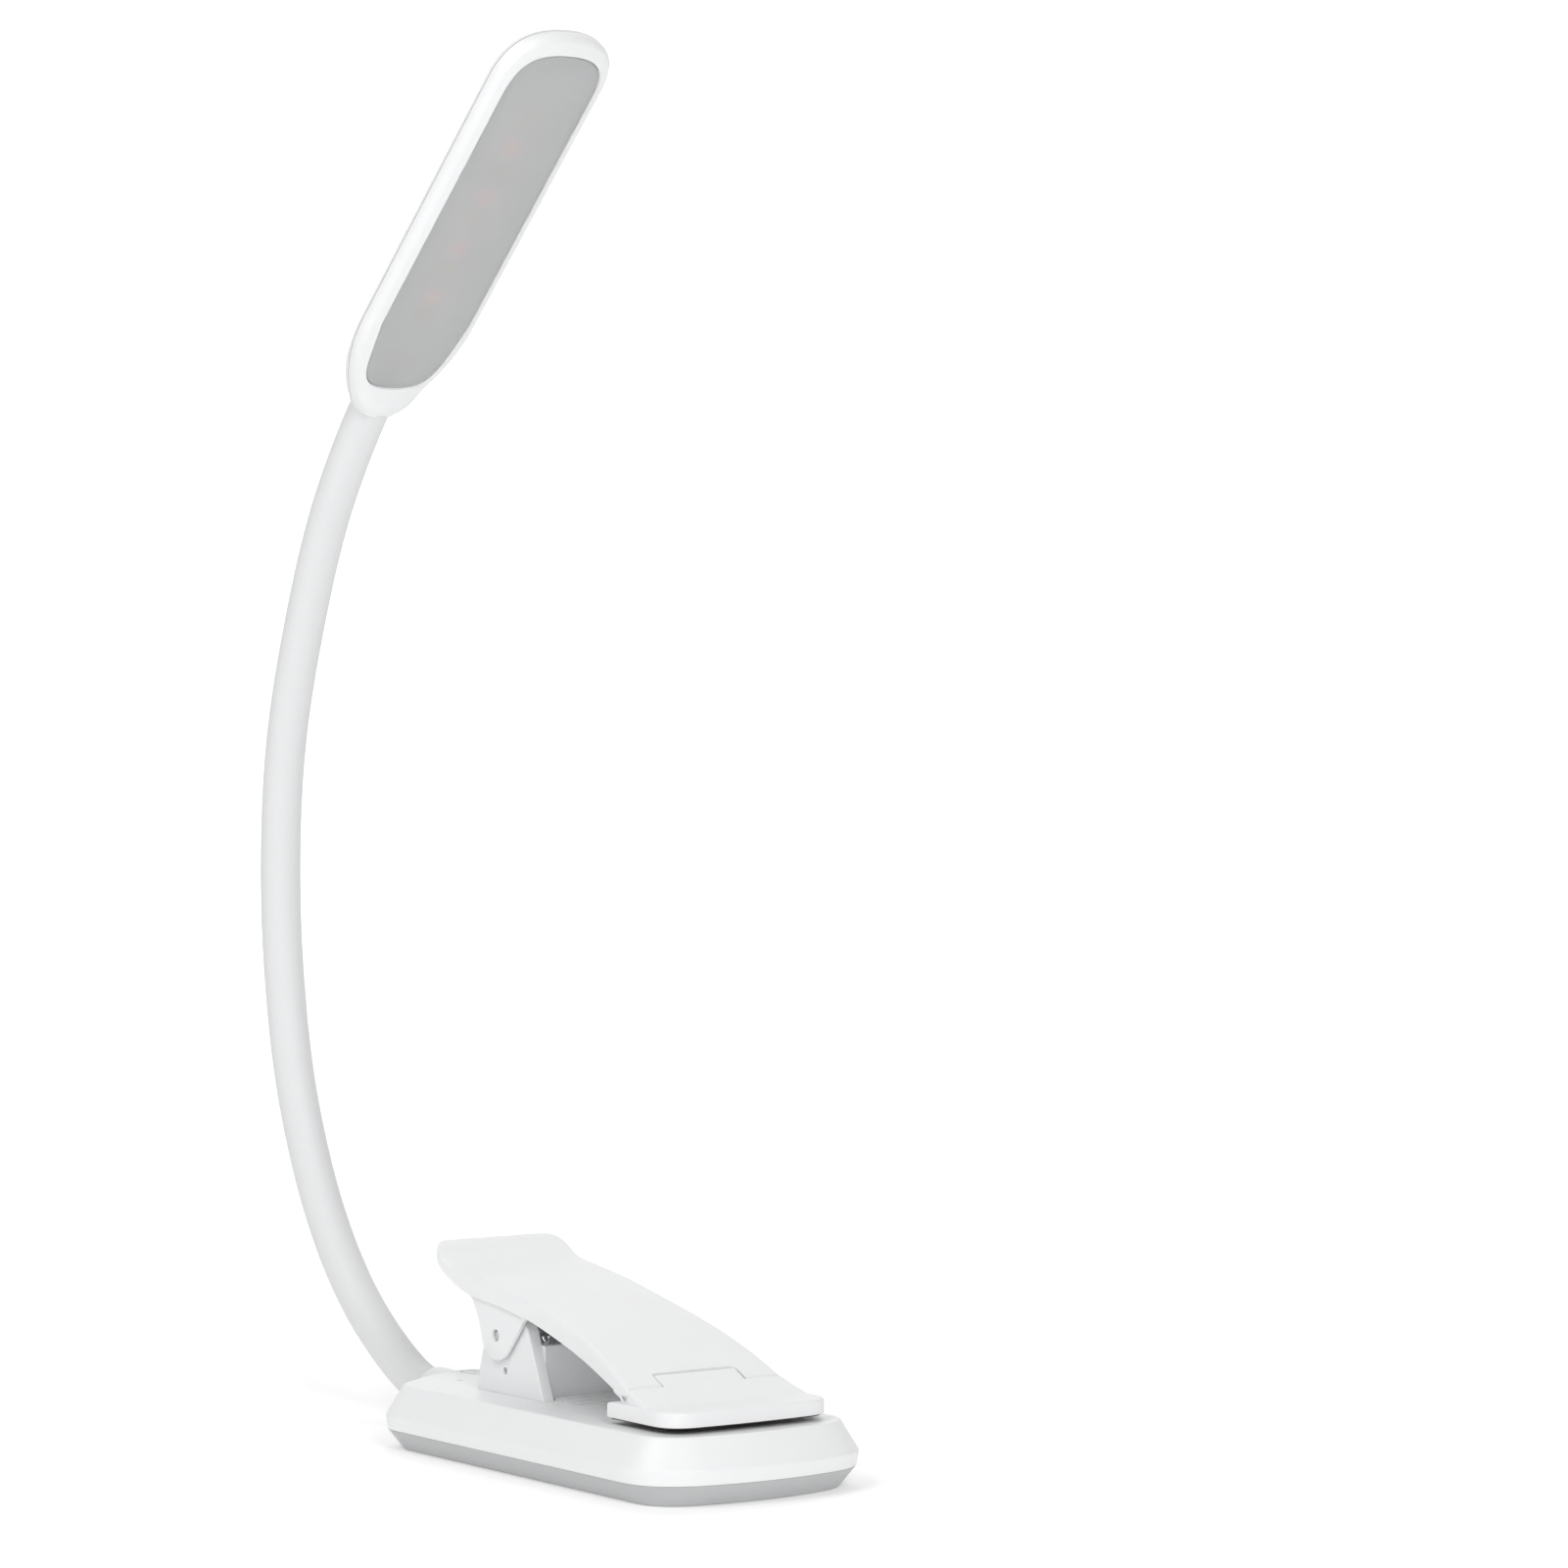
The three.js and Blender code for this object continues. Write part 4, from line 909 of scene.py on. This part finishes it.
def head():
    behind = box("half", -40, 40, -20, 120, -30, SHELL_FRONT, WHITE)
    bezel = boolean(head_shell("head_bezel_fine"), [behind])
    opening = stack("opening", lens_plan(0.15), [(0, -5), (0, -0.35), (-0.12, -0.2), (-0.5, 3)], WHITE)
    rebate = stack("rebate", lens_plan(0.95), [(0, -5), (0, -1.25)], WHITE)
    bezel = boolean(bezel, [head_room(), opening, rebate] + neck_way(), angle=30)
    in_place(bezel, "white_shell", "head_bezel")
    before = box("half", -40, 40, -20, 120, SHELL_BACK, 30, WHITE)
    back = boolean(head_shell("head_back_shell_fine"), [before])
    back = boolean(back, [head_room()] + neck_way(), angle=30)
    pegs = [turned("peg", [(1.1, -4.6), (1.1, -3.75)], WHITE, (x, y, 0), ALONG_Z, 20) for x, y in PEG_PLACES]
    in_place(joined(back, pegs), "white_shell", "head_back_shell")
    face_profile = rounded([(1, -1.4), (0, -1.4), (0, -0.25), (1, -0.25)], [0.1, 0.3], 5)
    face = stack("diffuser_fine", lens_plan(), face_profile, FROST)
    in_place(face, "frosted", "diffuser")
    for i, y in enumerate(LED_PLACES):
        # every second LED is rose, with a faint painted glow
        led = box(f"led_{i + 1}_fine", -1.75, 1.75, y - 1.4, y + 1.4, -2.7, -2.1, ROSE_PAINTED_GLOW if i % 2 else WARM, 0.15)
        in_place(led, "rose_led" if i % 2 else "warm_led", f"led_{i + 1}")


# ----------------------------------------------------------- pieces kept as CAD

KEPT = {
    "main_board": GREEN, "usb_socket": STEEL, "battery_cell": CELL, "neck_anchor_bush": BRASS,
    "switch_body": BLACK, "switch_plunger": BLACK, "led_board": BOARD_WHITE, "neck_clamp": BRASS}


def kept_materials():
    for name, node in NODES.items():
        material = KEPT.get(name) or (WIRE if name.startswith("neck_core") else None)
        if material:
            node.data.materials.clear()
            node.data.materials.append(material)


# ------------------------------------------------------------- camera and light

CAMERA_TURNS = (-37.066, 0.685, 0.351)  # azimuth, elevation and roll in degrees
CAMERA_REACH = 900
CAMERA_AIM = (31.025, 130.731)  # middle of the picture, to the right of and above the origin
LENS, SENSOR = 107.96, 36


def camera():
    """Camera looking along -back; returns the level right and back directions."""
    azimuth, elevation, roll = (math.radians(a) for a in CAMERA_TURNS)
    back = Vector((math.sin(azimuth) * math.cos(elevation), -math.cos(azimuth) * math.cos(elevation),
                   math.sin(elevation)))
    right = (-back).cross(Vector((0, 0, 1))).normalized()
    up = right.cross(-back)
    right2 = right * math.cos(roll) + up * math.sin(roll)
    up2 = up * math.cos(roll) - right * math.sin(roll)
    place = (CAMERA_AIM[0] * right2 + CAMERA_AIM[1] * up2 + CAMERA_REACH * back) * MM
    data = bpy.data.cameras.new("camera")
    data.lens = LENS
    data.sensor_width = SENSOR
    data.clip_start, data.clip_end = 0.05, 50
    obj = bpy.data.objects.new("camera", data)
    turn = Matrix((right2, up2, back)).transposed().to_4x4()
    obj.matrix_world = Matrix.Translation(place) @ turn
    COLLECTION.objects.link(obj)
    bpy.context.scene.camera = obj
    return right, back


def lamp_light(name, place, target, size, power):
    data = bpy.data.lights.new(name, "AREA")
    data.shape = "DISK"
    data.size = size
    data.energy = power
    obj = bpy.data.objects.new(name, data)
    obj.location = place
    obj.rotation_euler = (Vector(target) - Vector(place)).to_track_quat("-Z", "Y").to_euler()
    COLLECTION.objects.link(obj)


def paper_sweep(right, away):
    """Plain floor that curves up into a wall 2.5 m away; lengths here are in metres."""
    paper = plastic("paper", (0.93, 0.93, 0.93), 0.9, grain=60, depth=0.02,
                    Emission_Color=(1, 1, 1, 1), Emission_Strength=0.18)
    rows = [away * -3, away * 1.5]
    for a in np.linspace(0, math.pi / 2, 24)[1:]:
        rows.append(away * (1.5 + math.sin(a)) + Vector((0, 0, 1 - math.cos(a))))
    rows.append(away * 2.5 + Vector((0, 0, 4)))
    vertices = []
    for row in rows:
        for side in (-4, 4):
            p = row + right * side
            vertices.append((p.x / MM, p.y / MM, p.z / MM - 0.05))
    faces = [(2 * i, 2 * i + 1, 2 * i + 3, 2 * i + 2) for i in range(len(rows) - 1)]
    sweep = solid("sweep", vertices, faces, paper)


def studio(right, back):
    away = -Vector((back.x, back.y, 0)).normalized()
    paper_sweep(right, away)
    world = bpy.data.worlds.new("studio")
    world.use_nodes = True
    background = world.node_tree.nodes["Background"]
    background.inputs["Color"].default_value = (1, 1, 1, 1)
    background.inputs["Strength"].default_value = 0.435
    bpy.context.scene.world = world
    aim = (0, 0.03, 0.12)
    key = right * 0.45 + back * 1.2 + Vector((0, 0, 0.75))
    lamp_light("key", key, aim, 0.6, 6.1)
    lamp_light("front", back * 1.35 + Vector((0, 0, 0.15)), aim, 0.4, 1.8)
    lamp_light("left", Vector((-0.9, -0.1, 1.05)), aim, 0.8, 5.2)
    lamp_light("backdrop", away * 1.2 + Vector((0, 0, 1.6)), away * 2.4 + Vector((0, 0, 0.3)), 1.6, 16)
    view = bpy.context.scene.view_settings
    view.view_transform = "Standard"
    view.look = "None"


top_shell()
bottom_cover()
screws()
light_pipes()
grip_pad()
button()
bracket()
cross_pin("pivot_pin_fine", PIVOT, 1.05, 13.9, "pivot_pin")
cross_pin("spring_rest_pin_fine", REST_PIN, 0.48, 12.7, "spring_rest_pin")
spring()
lever()
cross_pin("jaw_pin_fine", JAW_PIN, 0.7, 17, "jaw_pin", body="lever")
jaw()
neck()
head()
kept_materials()
studio(*camera())
